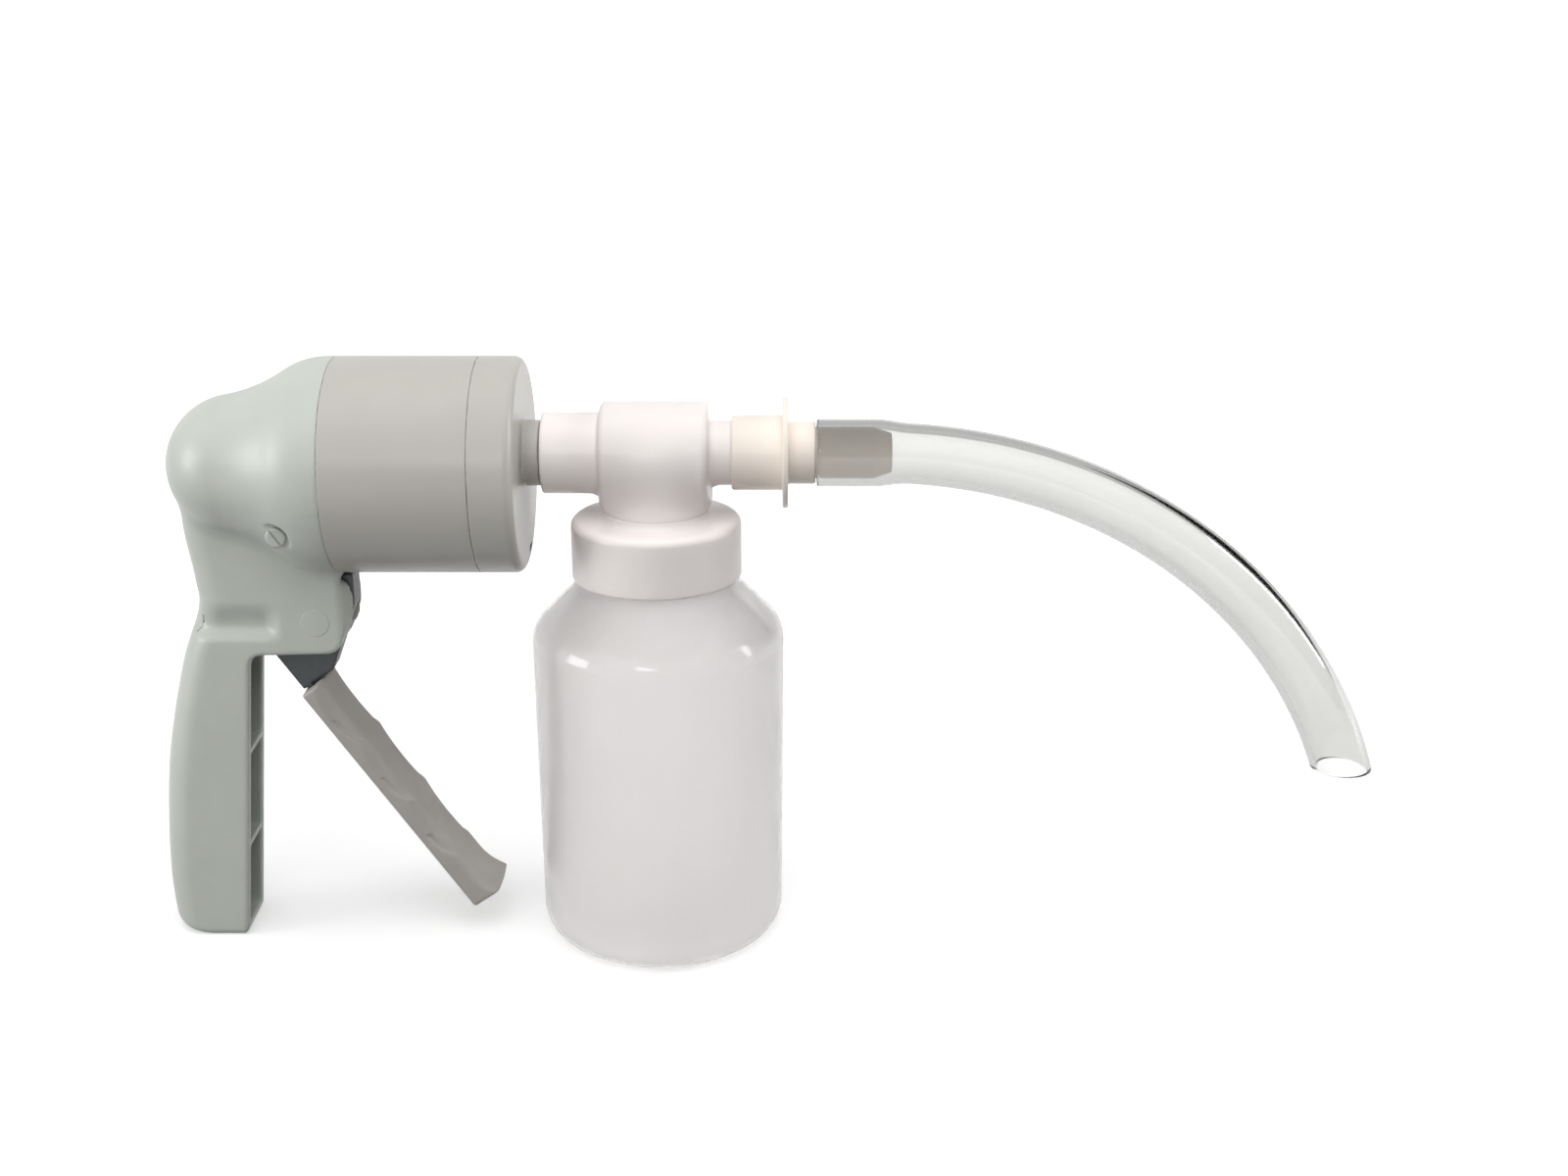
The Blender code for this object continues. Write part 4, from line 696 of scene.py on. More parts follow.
    def field(self, x: Array, y: Array, z: Array) -> Array:
        """Distance to the whole moulding: dome and neck blended, less every hollow."""
        d = self.datum
        dome = self.dome(x, y, z)
        mouth = common(dome, x - d.seam_x, self.mouth_edge)
        solid = joined(mouth, self.neck(x, y, z), self.junction_r)
        solid = cut(solid, dome + self.wall, self.inside_edge)
        cheek_z = d.pivot_z - self.cheek_below
        ahead = x - self.back_x(z) - self.back_wall
        slot = self.channel(y, z, ahead, self.slot_half, cheek_z - self.wall, d.axis_z)
        solid = cut(solid, slot, self.channel_edge)
        low = self.channel_floor
        for drop in (*reversed(self.web_drops), None):
            high = cheek_z - self.web if drop is None else d.axis_z - drop - self.web / 2
            solid = cut(solid, self.channel(y, z, ahead, self.channel_half, low, high), self.channel_edge)
            low = high + self.web
        off_line = np.hypot(x - d.seam_x + self.screw_behind, z - d.axis_z + self.screw_drop)
        recess = np.maximum(off_line - self.recess_r, self.recess_floor - np.abs(y))
        solid = cut(solid, recess, self.recess_rim)
        return np.maximum(solid, self.pin_r - np.hypot(x - d.pivot_x, z - d.pivot_z))

    def screw(self, side: int) -> Shell:
        """A slotted pan head: a disc with a rounded top, less the slot."""
        d = self.datum
        at = np.array([d.seam_x - self.screw_behind, side * self.recess_floor, d.axis_z - self.screw_drop])

        def head(a: Array, b: Array, h: Array) -> Array:
            """Distance to the head in its own frame, h along its axis."""
            disc = common(np.hypot(a, b) - self.screw_r, h - self.screw_head, self.screw_crown)
            disc = common(disc, -h, self.screw_hem)
            across = np.abs(a * math.cos(self.screw_turn) + b * math.sin(self.screw_turn))
            slot = np.maximum(across - self.screw_slot / 2, self.screw_head - self.screw_slot_depth - h)
            return cut(disc, slot, self.screw_slot_edge)

        r = self.screw_r
        shell = skinned(head, (-r, -r, 0), (r, r, self.screw_head), self.screw_cell)
        x, z, out = shell.points.T
        return Shell(at + np.stack([x, side * out, z], axis=1), shell.faces).outward()

    def build(self) -> None:
        """Builds and dresses the moulding, the screws and the pin."""
        d = self.datum
        lowest = (d.seam_x - self.rearmost, -d.barrel_r, 0.0)
        highest = (d.seam_x + self.lobe_reach, d.barrel_r, d.axis_z + d.barrel_r)
        skin = skinned(self.field, lowest, highest, self.cell)
        placed("housing_moulding", [skin], HOUSING, "pump", "housing_abs", "rear_housing")
        for side, word in ((-1, "left"), (1, "right")):
            placed(f"screw_{word}", [self.screw(side)], PAINTED, "pump", "steel", f"housing_screw_{word}")
        face, seat = self.half_width + self.button_proud, self.half_width - 2 * self.button_proud
        edge = [
            (0, face, 0),
            (self.button_r, face, self.button_proud),
            (self.button_r, seat, 0),
            (self.pin_r, seat, 0),
        ]
        corners = edge + [(radius, -height, rounding) for radius, height, rounding in reversed(edge)]
        pin = turned(fillet(corners, closed=False), Axis.Z, (0, 0), closed=False, steps=self.pin_steps)
        x, y, z = pin.points.T
        upright = np.stack([d.pivot_x + x, z, d.pivot_z - y], axis=1)
        skin = Shell(upright, pin.faces).outward()
        placed("lever_pin", [skin], HOUSING, "pump", "housing_abs", "pivot_pin")


@dataclass
class Cylinder:
    """Pump cylinder and its front cover with the suction port."""

    datum: Datum
    bore_r: float = 23.5
    spigot_wall: float = 1.7
    spigot: float = 3.0
    spigot_edge: float = 0.3
    bulkhead: float = 4.0
    bush_hole_r: float = 9.4
    seam_gap: float = 0.05
    seam_edge: float = 0.15
    cap_wall: float = 2.0
    cap_edge_r: float = 2.2
    plate_front_x: float = -65.1
    boss_r: float = 8.2
    boss: float = 4.3
    boss_root: float = 1.0
    boss_fillet: float = 0.6
    port_r: float = 7.2
    port_bore_r: float = 4.5
    port: float = 10.6
    port_edge: float = 0.5
    vent_drop: float = 23.2
    vent_y: float = 5.0
    vent_half: tuple[float, float] = (3.0, 0.8)
    vent_corner: float = 0.7
    vent_edge: float = 0.3
    skirt: float = 8.0
    longest: float = 2.0
    cell: float = 0.42

    def cover(self, x: Array, y: Array, z: Array) -> Array:
        """Distance to the cover: a cup with a rounded front edge, plus the port, less bore and vent."""
        d = self.datum
        radius = np.hypot(y, z - d.axis_z)
        cup = common(radius - d.barrel_r, x - d.cap_front_x, self.cap_edge_r)
        cup = common(cup, d.cap_seam_x + self.seam_gap - x, self.seam_edge)
        spigot_r = self.bore_r + self.spigot_wall + d.gap
        inside = np.maximum(radius - spigot_r, x - d.cap_front_x + self.cap_wall)
        cup = np.maximum(cup, -inside)
        off = np.hypot(y, z - d.port_z)
        rear = self.plate_front_x + d.gap - x
        boss = np.maximum(off - self.boss_r, d.cap_front_x - self.boss_root - x)
        boss = common(boss, x - d.cap_front_x - self.boss, self.port_edge)
        port = np.maximum(off - self.port_r, rear)
        port = common(port, x - d.cap_front_x - self.boss - self.port, self.port_edge)
        solid = joined(cup, np.minimum(boss, port), self.boss_fillet)
        solid = np.maximum(solid, self.port_bore_r - off)
        wide, high = self.vent_half
        aside, below = np.abs(y - self.vent_y), np.abs(z - d.axis_z + self.vent_drop)
        vent = common(aside - wide, below - high, self.vent_corner)
        return cut(solid, np.maximum(vent, d.cap_front_x - 2 * self.cap_wall - x), self.vent_edge)

    def build(self) -> None:
        """Builds and dresses the cylinder, less its spigot inside the housing, and the cover."""
        d = self.datum
        front_x = d.cap_seam_x + self.spigot
        corners = [
            (self.bore_r, front_x, 0),
            (self.bore_r + self.spigot_wall, front_x, self.spigot_edge),
            (self.bore_r + self.spigot_wall, d.cap_seam_x, 0),
            (d.barrel_r, d.cap_seam_x, self.seam_edge),
            (d.barrel_r, d.seam_x + self.seam_gap, self.seam_edge),
            (self.bush_hole_r, d.seam_x + self.seam_gap, 0),
            (self.bush_hole_r, d.seam_x + self.bulkhead, 0),
            (self.bore_r, d.seam_x + self.bulkhead, 0),
        ]
        profile = spread(fillet(corners), self.longest, closed=True)
        skin = turned(profile, Axis.X, (0, d.axis_z))
        placed("cylinder", [skin], BARREL, "pump", "barrel_abs", "barrel")
        low = (self.plate_front_x - self.skirt, -d.barrel_r, d.axis_z - d.barrel_r)
        high = (d.cap_front_x + self.boss + self.port, d.barrel_r, d.axis_z + d.barrel_r)
        skin = skinned(self.cover, low, high, self.cell)
        placed("cylinder_cover", [skin], BARREL, "pump", "barrel_abs", "front_cap")


@dataclass
class Lever:
    """Dark inner lever with its fork and the light finger grip on it."""

    datum: Datum
    lean: float = math.radians(34.5)
    travel: float = math.radians(34)
    arm_lean: float = math.radians(31.54)
    stroke: float = 24.0
    hub_width: float = 9.0
    fork_width: float = 6.0
    fork_half: float = 5.2
    fork_past_pin: float = 3.0
    cross_pin_r: float = 2.0
    running_gap: float = 0.4
    pin_hole_r: float = 3.2
    nose_reach: float = 9.4
    nose_depth: float = 8.2
    nose_edge: float = 1.0
    nose_r: float = 2.0
    stop_gap: float = 0.4
    shank: float = 13.4
    rear: float = 15.5
    shank_front: float = 5.9
    shank_r: float = 0.8
    shank_edge: float = 0.3
    heel_r: float = 4.0
    hub_rear: float = 9.0
    hub_neck_r: float = 3.0
    fork_root_r: float = 2.0
    fork_edge: float = 1.0
    web_r: float = 0.5
    hole_edge: float = 0.3
    path_share: float = 0.9
    path_steps: int = 24
    path_past_end: float = 9.0
    tang: float = 1.8
    tang_inset: float = 1.2
    tang_length: float = 30.0
    edge: float = 0.7
    core_cell: float = 0.4
    core_behind: float = 35.0
    core_ahead: float = 30.0
    core_below: float = 55.0
    core_above: float = 12.0
    grip: float = 72.9
    grip_half: float = 8.6
    grip_depth: float = 6.2
    crown: float = 0.6
    corner: float = 1.1
    shoulder: float = 1.8
    grooves: int = 3
    pitch: float = 19.5
    groove_depth: float = 0.5
    groove_bow: float = 5.0
    first_ridge: float = 5.0
    flare: float = 2.8
    flare_length: float = 8.5
    seat_depth: float = 1.05
    seat_reach: float = 3.9
    seat_half: tuple[float, float] = (0.5, 0.62)
    seat_slope: tuple[float, float] = (0.38, 0.8)
    seat_past_last: float = 0.2
    grip_end_edge: float = 0.6
    socket_edge: float = 0.2
    grip_cell: float = 0.42
    grip_behind: float = 16.0
    grip_ahead: float = 4.0
    grip_below: float = 12.0
    grip_down: float = 8.0

    def down(self, along: float, across: float) -> tuple[float, float]:
        """(x, z) of a point down the lever from its pivot and across it towards the front."""
        s, c = math.sin(self.lean), math.cos(self.lean)
        return self.datum.pivot_x + along * s + across * c, self.datum.pivot_z - along * c + across * s

    def up(self, along: float, across: float) -> tuple[float, float]:
        """(x, z) of a point up the fork's arm from the pivot and across it towards the front."""
        s, c = math.sin(self.arm_lean), math.cos(self.arm_lean)
        return self.datum.pivot_x - along * s + across * c, self.datum.pivot_z + along * c + across * s

    def pin_path(self) -> Array:
        """Path of the rod's pin seen from the turning lever, carried on past the fork's open end."""
        d = self.datum
        drop = d.axis_z - d.pivot_z
        angle = np.linspace(0, self.path_share * self.travel, self.path_steps)
        pin = self.stroke * (angle / self.travel - 1)
        x = pin * np.cos(angle) - drop * np.sin(angle)
        z = pin * np.sin(angle) + drop * np.cos(angle)
        path = np.stack([x, z], axis=1)
        ahead = path[0] - path[1]
        return np.concatenate([[path[0] + self.path_past_end * ahead / np.linalg.norm(ahead)], path])

    def core_field(self) -> Field:
        """Distance field of the core: a flat hub and a thinner fork, less the pin's slot and hole."""
        d = self.datum
        nose_z = d.axis_z - d.barrel_r - self.stop_gap
        nose_x = d.pivot_x + self.nose_reach
        tang_rear = -self.rear + self.tang_inset
        hub = [
            (nose_x, nose_z, self.nose_edge),
            (nose_x, nose_z - self.nose_depth, self.nose_r),
            (*self.down(self.shank, -self.shank_front), self.shank_r),
            (*self.down(self.shank, tang_rear + self.tang), 0),
            (*self.down(self.shank + self.tang_length, tang_rear + self.tang), 0),
            (*self.down(self.shank + self.tang_length, tang_rear), 0),
            (*self.down(self.shank, tang_rear), 0),
            (*self.down(self.shank, -self.rear), self.shank_edge),
            (*self.down(0, -self.rear), self.heel_r),
            (*self.up(self.hub_rear, -self.hub_rear), self.hub_neck_r),
            (*self.up(2 * self.hub_rear, -self.fork_half), self.fork_root_r),
            (*self.up(2 * self.hub_rear, self.fork_half), self.fork_root_r),
            (d.pivot_x, nose_z, self.nose_edge),
        ]
        top = math.hypot(self.stroke, d.axis_z - d.pivot_z) + self.fork_past_pin
        arm = [
            (*self.up(0, -self.fork_half), 0),
            (*self.up(0, self.fork_half), 0),
            (*self.up(top, self.fork_half), self.fork_edge),
            (*self.up(top, -self.fork_half), self.fork_edge),
        ]
        hub_outline, arm_outline, path = fillet(hub), fillet(arm), self.pin_path()
        legs = list(zip(path[:-1], path[1:]))

        def core(x: Array, y: Array, z: Array) -> Array:
            """Distance to the core."""
            plate = common(outline_distance(x, z, hub_outline), np.abs(y) - self.hub_width / 2, self.edge)
            fork = common(outline_distance(x, z, arm_outline), np.abs(y) - self.fork_width / 2, self.edge)
            slot = np.inf
            for (ax, az), (bx, bz) in legs:
                u, w = x - d.pivot_x - ax, z - d.pivot_z - az
                run, rise = bx - ax, bz - az
                share = np.clip((u * run + w * rise) / (run * run + rise * rise), 0, 1)
                slot = np.minimum(slot, np.hypot(u - share * run, w - share * rise))
            slot = slot - self.cross_pin_r - self.running_gap
            hole = np.hypot(x - d.pivot_x, z - d.pivot_z) - self.pin_hole_r
            return cut(joined(plate, fork, self.web_r), np.minimum(slot, hole), self.hole_edge)

        return core

    def grip_field(self, x: Array, y: Array, z: Array) -> Array:
        """Distance to the grip: a bar along the lever with finger seats, a crown and a flared tip.

        The front is a chain of shallow half waves between ridges. Each seat also dishes the sides: an
        oval dish with its middle on the front edge, soft above and with a lip below.
        """
        d = self.datum
        u, w = x - d.pivot_x, z - d.pivot_z
        along = u * math.sin(self.lean) - w * math.cos(self.lean)
        across = u * math.cos(self.lean) + w * math.sin(self.lean)
        start = self.shank + d.gap
        end = start + self.grip
        ridge = self.shank + self.first_ridge
        turn = (along - ridge + self.groove_bow * (y / self.grip_half) ** 2) / self.pitch
        seat = np.clip(np.floor(turn), -1, self.grooves - 1)
        inner = (turn > 0) & (turn < self.grooves)
        flare = np.clip((along - end + self.flare_length) / self.flare_length, 0, 1)
        front = -self.rear + self.grip_depth + self.flare * flare**2
        front = front - self.groove_depth * np.abs(np.sin(math.pi * turn)) * inner
        phase = turn - seat - 0.5
        reach = (front - across) / self.seat_reach
        oval = (phase / np.where(phase > 0, *self.seat_half)) ** 2 + reach**2
        slope = np.where(phase > 0, *self.seat_slope)
        dish = eased((1 - oval) / slope) * (turn < self.grooves + self.seat_past_last)
        half = self.grip_half - self.seat_depth * dish
        crowned = across - front + self.crown * (y / self.grip_half) ** 2
        bar = common(np.abs(y) - half, -self.rear - across, self.corner)
        bar = common(bar, crowned, self.shoulder)
        bar = common(bar, np.maximum(start - along, along - end), self.grip_end_edge)
        rear = -self.rear + self.tang_inset - d.gap
        thick = np.abs(across - rear - self.tang / 2 - d.gap) - self.tang / 2 - d.gap
        socket = np.maximum(thick, along - self.shank - self.tang_length - d.gap)
        return cut(bar, np.maximum(socket, np.abs(y) - self.hub_width / 2 - d.gap), self.socket_edge)

    def build(self) -> None:
        """Builds and dresses both pieces."""
        d = self.datum
        reach = self.hub_width / 2
        low = (d.pivot_x - self.core_behind, -reach, d.pivot_z - self.core_below)
        high = (d.pivot_x + self.core_ahead, reach, d.axis_z + self.core_above)
        core = skinned(self.core_field(), low, high, self.core_cell)
        placed("lever_inner", [core], NYLON, "lever", "lever_nylon", "lever_core")
        far, deep = self.down(self.shank + self.grip, 0)
        low = (d.pivot_x - self.grip_behind, -self.grip_half, deep - self.grip_below)
        high = (far + self.grip_ahead, self.grip_half, d.pivot_z - self.grip_down)
        grip = skinned(self.grip_field, low, high, self.grip_cell)
        placed("lever_finger_grip", [grip], ELASTOMER, "lever", "lever_grip", "lever_grip")


@dataclass
class Tee:
    """White tee between the pump's port, the bottle and the catheter."""

    datum: Datum
    left_x: float = -56.1
    left_r: float = 10.15
    body_x: float = -41.7
    body: float = 26.9
    body_r: float = 12.8
    body_edge: float = 1.6
    right_r: float = 8.05
    right: float = 14.5
    trunk_r: float = 12.75
    trunk_rise: float = 7.0
    trunk_crown: float = 9.0
    flange_z: float = 111.5
    mouth_z: float = 109.5
    flange_r: float = 19.2
    socket_r: float = 7.5
    socket: float = 11.2
    bore_r: float = 4.8
    trunk_bore_r: float = 9.6
    trunk_bore_top: float = 136.0
    saddle_r: float = 4.0
    left_edge: float = 0.6
    right_edge: float = 0.5
    step_fillet: float = 0.5
    flange_edge: float = 0.3
    bore_edge: float = 0.3
    cell: float = 0.36

    def field(self, x: Array, y: Array, z: Array) -> Array:
        """Distance to the tee: three coaxial cylinders and an upright one blended, less their bores."""
        d = self.datum
        off = np.hypot(y, z - d.port_z)
        middle = self.body_x + self.body / 2
        end = self.body_x + self.body + self.right
        body = common(off - self.body_r, np.abs(x - middle) - self.body / 2, self.body_edge)
        left = common(off - self.left_r, np.maximum(self.left_x - x, x - middle), self.left_edge)
        right = common(off - self.right_r, np.maximum(x - end, middle - x), self.right_edge)
        down = np.hypot(x - d.trunk_x, y)
        trunk = common(down - self.trunk_r, z - d.port_z - self.trunk_rise, self.trunk_crown)
        trunk = np.maximum(trunk, self.mouth_z - z)
        thick = np.maximum(self.mouth_z - z, z - self.flange_z)
        flange = common(down - self.flange_r, thick, self.flange_edge)
        line = joined(body, np.minimum(left, right), self.step_fillet)
        solid = joined(line, trunk, self.saddle_r)
        solid = np.minimum(solid, flange)
        wide = np.maximum(off - self.socket_r, x - self.left_x - self.socket)
        well = np.maximum(down - self.trunk_bore_r, z - self.trunk_bore_top)
        return cut(solid, np.minimum(np.minimum(wide, off - self.bore_r), well), self.bore_edge)

    def build(self) -> None:
        """Builds and dresses the tee."""
        d = self.datum
        end = self.body_x + self.body + self.right
        low = (self.left_x, -self.flange_r, self.mouth_z)
        high = (end, self.flange_r, d.port_z + self.body_r)
        skin = skinned(self.field, low, high, self.cell)
        placed("tee", [skin], POLYPROPYLENE, "pump", "white_plastic", "tee_adapter")


@dataclass
class Jar:
    """Collection bottle and the union nut that holds it."""

    datum: Datum
    nut_r: float = 21.5
    nut_z: float = 114.0
    nut_height: float = 15.3
    nut_top: float = 2.2
    nut_bore_r: float = 19.6
    nut_hole_r: float = 12.9
    nut_lip: float = 1.9
    nut_lip_wall: float = 0.4
    nut_lip_edge: float = 0.15
    nut_lip_root: float = 1.6
    nut_bore_edge: float = 0.4
    nut_edge: float = 2.0
    nut_hem: float = 0.7
    lip_z: float = 107.4
    neck_r: float = 19.2
    lip: float = 2.0
    root_z: float = 98.4
    root_r: float = 1.5
    shoulder_z: float = 84.9
    shoulder_r: float = 9.0
    body_r: float = 32.2
    taper: float = 0.6
    wall: float = 1.3
    base_r: float = 8.0
    push_up: float = 1.5
    push_up_r: float = 19.0
    push_up_edge: float = 1.0
    lip_edge: float = 0.5
    arc_steps: int = 14
    longest_nut: float = 1.5
    longest_bottle: float = 2.2

    def build(self) -> None:
        """Builds and dresses the union nut and the bottle."""
        at = (self.datum.trunk_x, 0.0)
        foot = self.nut_z - self.nut_height
        nut = [
            (self.nut_hole_r, self.nut_z + self.nut_lip, self.nut_lip_edge),
            (self.nut_hole_r + self.nut_lip_wall, self.nut_z + self.nut_lip, self.nut_lip_edge),
            (self.nut_hole_r + self.nut_lip_wall, self.nut_z, self.nut_lip_root),
            (self.nut_r, self.nut_z, self.nut_edge),
            (self.nut_r, foot, self.nut_hem),
            (self.nut_bore_r, foot, self.nut_bore_edge),
            (self.nut_bore_r, self.nut_z - self.nut_top, 0),
            (self.nut_hole_r, self.nut_z - self.nut_top, 0),
        ]
        skin = turned(spread(fillet(nut), self.longest_nut, closed=True), Axis.Z, at)
        placed("union_nut", [skin], POLYPROPYLENE, "collar", "white_plastic", "bottle_collar")
        base = self.body_r - self.taper
        step = self.push_up_r - 2 * self.push_up
        bottle = [
            (0, self.push_up + self.wall, 0),
            (step, self.push_up + self.wall, self.push_up_edge),
            (self.push_up_r, self.wall, self.push_up_edge),
            (base - self.wall, self.wall, self.base_r - self.wall),
            (self.body_r - self.wall, self.shoulder_z, self.shoulder_r - self.wall),
            (self.neck_r - self.lip, self.root_z - self.wall / 2, self.root_r),
            (self.neck_r - self.lip, self.lip_z, self.lip_edge),
            (self.neck_r, self.lip_z, self.lip_edge),
            (self.neck_r, self.root_z, self.root_r),
            (self.body_r, self.shoulder_z, self.shoulder_r),
            (base, 0, self.base_r),
            (self.push_up_r, 0, self.push_up_edge),
            (step, self.push_up, self.push_up_edge),
            (0, self.push_up, 0),
        ]
        profile = fillet(bottle, closed=False, steps=self.arc_steps)
        profile = spread(profile, self.longest_bottle, closed=False)
        skin = turned(profile, Axis.Z, at, closed=False)
        placed("collection_bottle", [skin], POLYETHYLENE, "bottle", "bottle_plastic", "bottle")


@dataclass
class Catheter:
    """Ivory connector with its flange and barb, and the clear preformed tube."""

    datum: Datum
    sleeve_x: float = -9.1
    sleeve: float = 12.7
    sleeve_r: float = 9.3
    socket_r: float = 8.35
    stop_x: float = 0.0
    flange_r: float = 13.8
    flange: float = 1.4
    nipple_r: float = 7.75
    nipple: float = 6.8
    barb_r: float = 6.4
    barb: float = 14.5
    barb_nose_r: float = 4.9
    barb_nose: float = 4.4
    bore_r: float = 3.5
    tube_r: float = 7.6
    tube_wall: float = 1.5
    stretch: float = 0.8
    straight: float = 15.0
    length: float = 200.0
    bend_r: float = 142.0
    tip_bend_r: float = 113.0
    tip_z: float = 45.0
    tip_after: float = 120.0
    end_edge: float = 0.35
    rim_steps: int = 7
    path_steps: int = 4000
    halvings: int = 30
    mouth_edge: float = 0.2
    ridge_edge: float = 0.4
    flange_edge: float = 0.5
    barb_edge: float = 0.6
    sleeve_rear_edge: float = 0.7
    longest: float = 1.5
    connector_steps: int = 160

    def connector(self) -> Shell:
        """The connector's skin, a profile carried round the port's line."""
        d = self.datum
        flange_x = self.sleeve_x + self.sleeve
        nipple_x = flange_x + self.flange + self.nipple
        nose_x = nipple_x + self.barb
        corners = [
            (self.bore_r, nose_x + self.barb_nose, self.mouth_edge),
            (self.barb_nose_r, nose_x + self.barb_nose, self.ridge_edge),
            (self.barb_r, nose_x, self.barb_edge),
            (self.barb_r, nipple_x, 0),
            (self.nipple_r, nipple_x, self.flange_edge),
            (self.nipple_r, flange_x + self.flange, self.ridge_edge),
            (self.flange_r, flange_x + self.flange, self.flange_edge),
            (self.flange_r, flange_x, self.flange_edge),
            (self.sleeve_r, flange_x, self.ridge_edge),
            (self.sleeve_r, self.sleeve_x, self.sleeve_rear_edge),
            (self.socket_r, self.sleeve_x, self.mouth_edge),
            (self.socket_r, self.stop_x, 0),
            (self.bore_r, self.stop_x, 0),
        ]
        profile = spread(fillet(corners), self.longest, closed=True)
        return turned(profile, Axis.X, (0, d.port_z), steps=self.connector_steps)

    def tube(self, rows: int = 330, steps: int = 128) -> Shell:
        """The tube's skin, inside and out.

        Its heading turns with the length past the straight start: a part that grows with the length and
        a part that grows with its square. Each line along the tube ends where it meets the level of
        the cut, found by halving, and its points are spread evenly up to there.

        Args:
            rows: points along each line.
            steps: lines round the tube.

        Returns:
            The skin.
        """
        d = self.datum
        start = self.sleeve_x + self.sleeve + self.flange + self.nipple + d.gap
        s = np.linspace(0, self.length, self.path_steps)
        bent = np.maximum(s - self.straight, 0)
        tightening = (1 / self.tip_bend_r - 1 / self.bend_r) / (self.length - self.straight)
        turn = bent / self.bend_r + tightening * bent**2 / 2
        step = s[1] - s[0]
        ahead = np.concatenate([[0], np.cumsum(np.cos((turn[1:] + turn[:-1]) / 2))]) * step
        drop = np.concatenate([[0], np.cumsum(np.sin((turn[1:] + turn[:-1]) / 2))]) * step
        angle = np.linspace(0, math.tau, steps, endpoint=False)[None]

        def at(along: Array, inset: Array) -> Array:
            """Points at lengths along the tube and insets from its outer skin, at every angle."""
            heading = np.interp(along, s, turn)
            loose = 1 - eased((along - self.barb) / (2 * self.barb_nose))
            radius = self.tube_r + self.stretch * loose - inset
            up = radius * np.cos(angle)
            x = start + np.interp(along, s, ahead) + up * np.sin(heading)
            z = d.port_z - np.interp(along, s, drop) + up * np.cos(heading)
            return np.stack([x, radius * np.sin(angle) + 0 * along, z], axis=-1)

        share = np.linspace(0, 1, rows)[:, None]
        rim = np.linspace(0, math.pi, self.rim_steps)[1:-1, None]
        edge = self.end_edge
        share = np.concatenate([share, np.ones_like(rim), share[::-1], 0 * rim])
        none, curve = np.zeros((rows, 1)), np.cos(rim)
        inset = self.tube_wall * np.concatenate([none, (1 - curve) / 2, none + 1, (1 + curve) / 2])
        pull = edge * np.concatenate([none, np.sin(rim), none, -np.sin(rim)])
        low, high = (np.full((len(share), steps), limit) for limit in (self.tip_after, self.length))
        for _ in range(self.halvings):
            middle = (low + high) / 2
            above = at(middle, inset)[..., 2] > self.tip_z + edge
            low, high = np.where(above, middle, low), np.where(above, high, middle)
        return woven(at(edge + share * (low - edge) + pull, inset), wrap_rows=True)

    def build(self) -> None:
        """Builds and dresses the connector and the tube."""
        placed("connector", [self.connector()], IVORY, "catheter", "ivory_plastic", "catheter_connector")
        placed("suction_tube", [self.tube()], CLEAR, "catheter", "clear_tube", "catheter_tube")


@dataclass
class Works:
    """What moves and seals inside the cylinder: CAD pieces that stay, dressed, and the coiled spring."""

    datum: Datum
    spring_r: float = 15.0
    wire: float = 1.0
    turns: float = 6.0
    rear_x: float = -97.8
    front_x: float = -67.2
    stroke: float = 24.0
    end_turn: float = 0.6
    end_ease: float = 0.15
    finishes: dict[str, Finish] = field(
        default_factory=lambda: {
            "rod_bush": ACETAL,
            "valve_plate": ACETAL,
            "piston": ACETAL,
            "piston_rod": ACETAL,
            "piston_screw": STEEL,
            "rod_cross_pin": STEEL,
            "piston_seal": RUBBER,
            "plate_gasket": RUBBER,
            "port_o_ring": RUBBER,
            "bottle_gasket": RUBBER,
            "inlet_valve": SILICONE,
            "exhaust_valve": SILICONE,
            "tee_baffle": POLYPROPYLENE,
        }
    )

    def spring(self, points: int = 900, steps: int = 14) -> Shell:
        """Wire carried along a helix whose first and last part turn lies flat, ends drawn to a point.

        Args:
            points: places along the wire.
            steps: columns round the wire.

        Returns:
            The skin.
        """
        d = self.datum
        turn = np.linspace(0, self.turns, points)
        rise = eased((turn - self.end_turn / 2) / (self.turns - self.end_turn)) * self.end_ease
        steady = np.clip((turn - self.end_turn) / (self.turns - 2 * self.end_turn), 0, 1)
        rise = rise + (1 - self.end_ease) * steady
        low, high = self.rear_x + self.wire / 2, self.front_x - self.wire / 2
        a = math.tau * turn
        out = np.stack([0 * a, np.cos(a), np.sin(a)], axis=1)
        path = out * self.spring_r + np.stack([low + (high - low) * rise, 0 * a, d.axis_z + 0 * a], axis=1)
        ahead = np.gradient(path, axis=0)
        ahead /= np.linalg.norm(ahead, axis=1, keepdims=True)
        side = np.cross(ahead, out)
        radius = np.full(points, self.wire / 2)
        radius[[0, -1]] = 0
        path[[0, -1]] = path[[1, -2]]
        return carried(path, out, side, radius, steps, closed=False)

    def build(self) -> None:
        """Dresses the CAD pieces and builds the spring."""
        for node, finish in self.finishes.items():
            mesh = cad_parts[node].data
            mesh.materials.clear()
            mesh.materials.append(finish.make())
            LOG.info("%s: CAD piece, %s", node, finish.name)
        coil = placed("coil_spring", [self.spring()], STEEL, "pump", "steel", "return_spring")
        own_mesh(coil)


# Studio


@dataclass
class Lamp:
    """A softbox that faces the object: its place in degrees and metres, watts, and whether gloss shows it."""

    name: str
    azimuth: float
    elevation: float
    distance: float
    width: float
    height: float
    power: float
    mirrored: bool = True


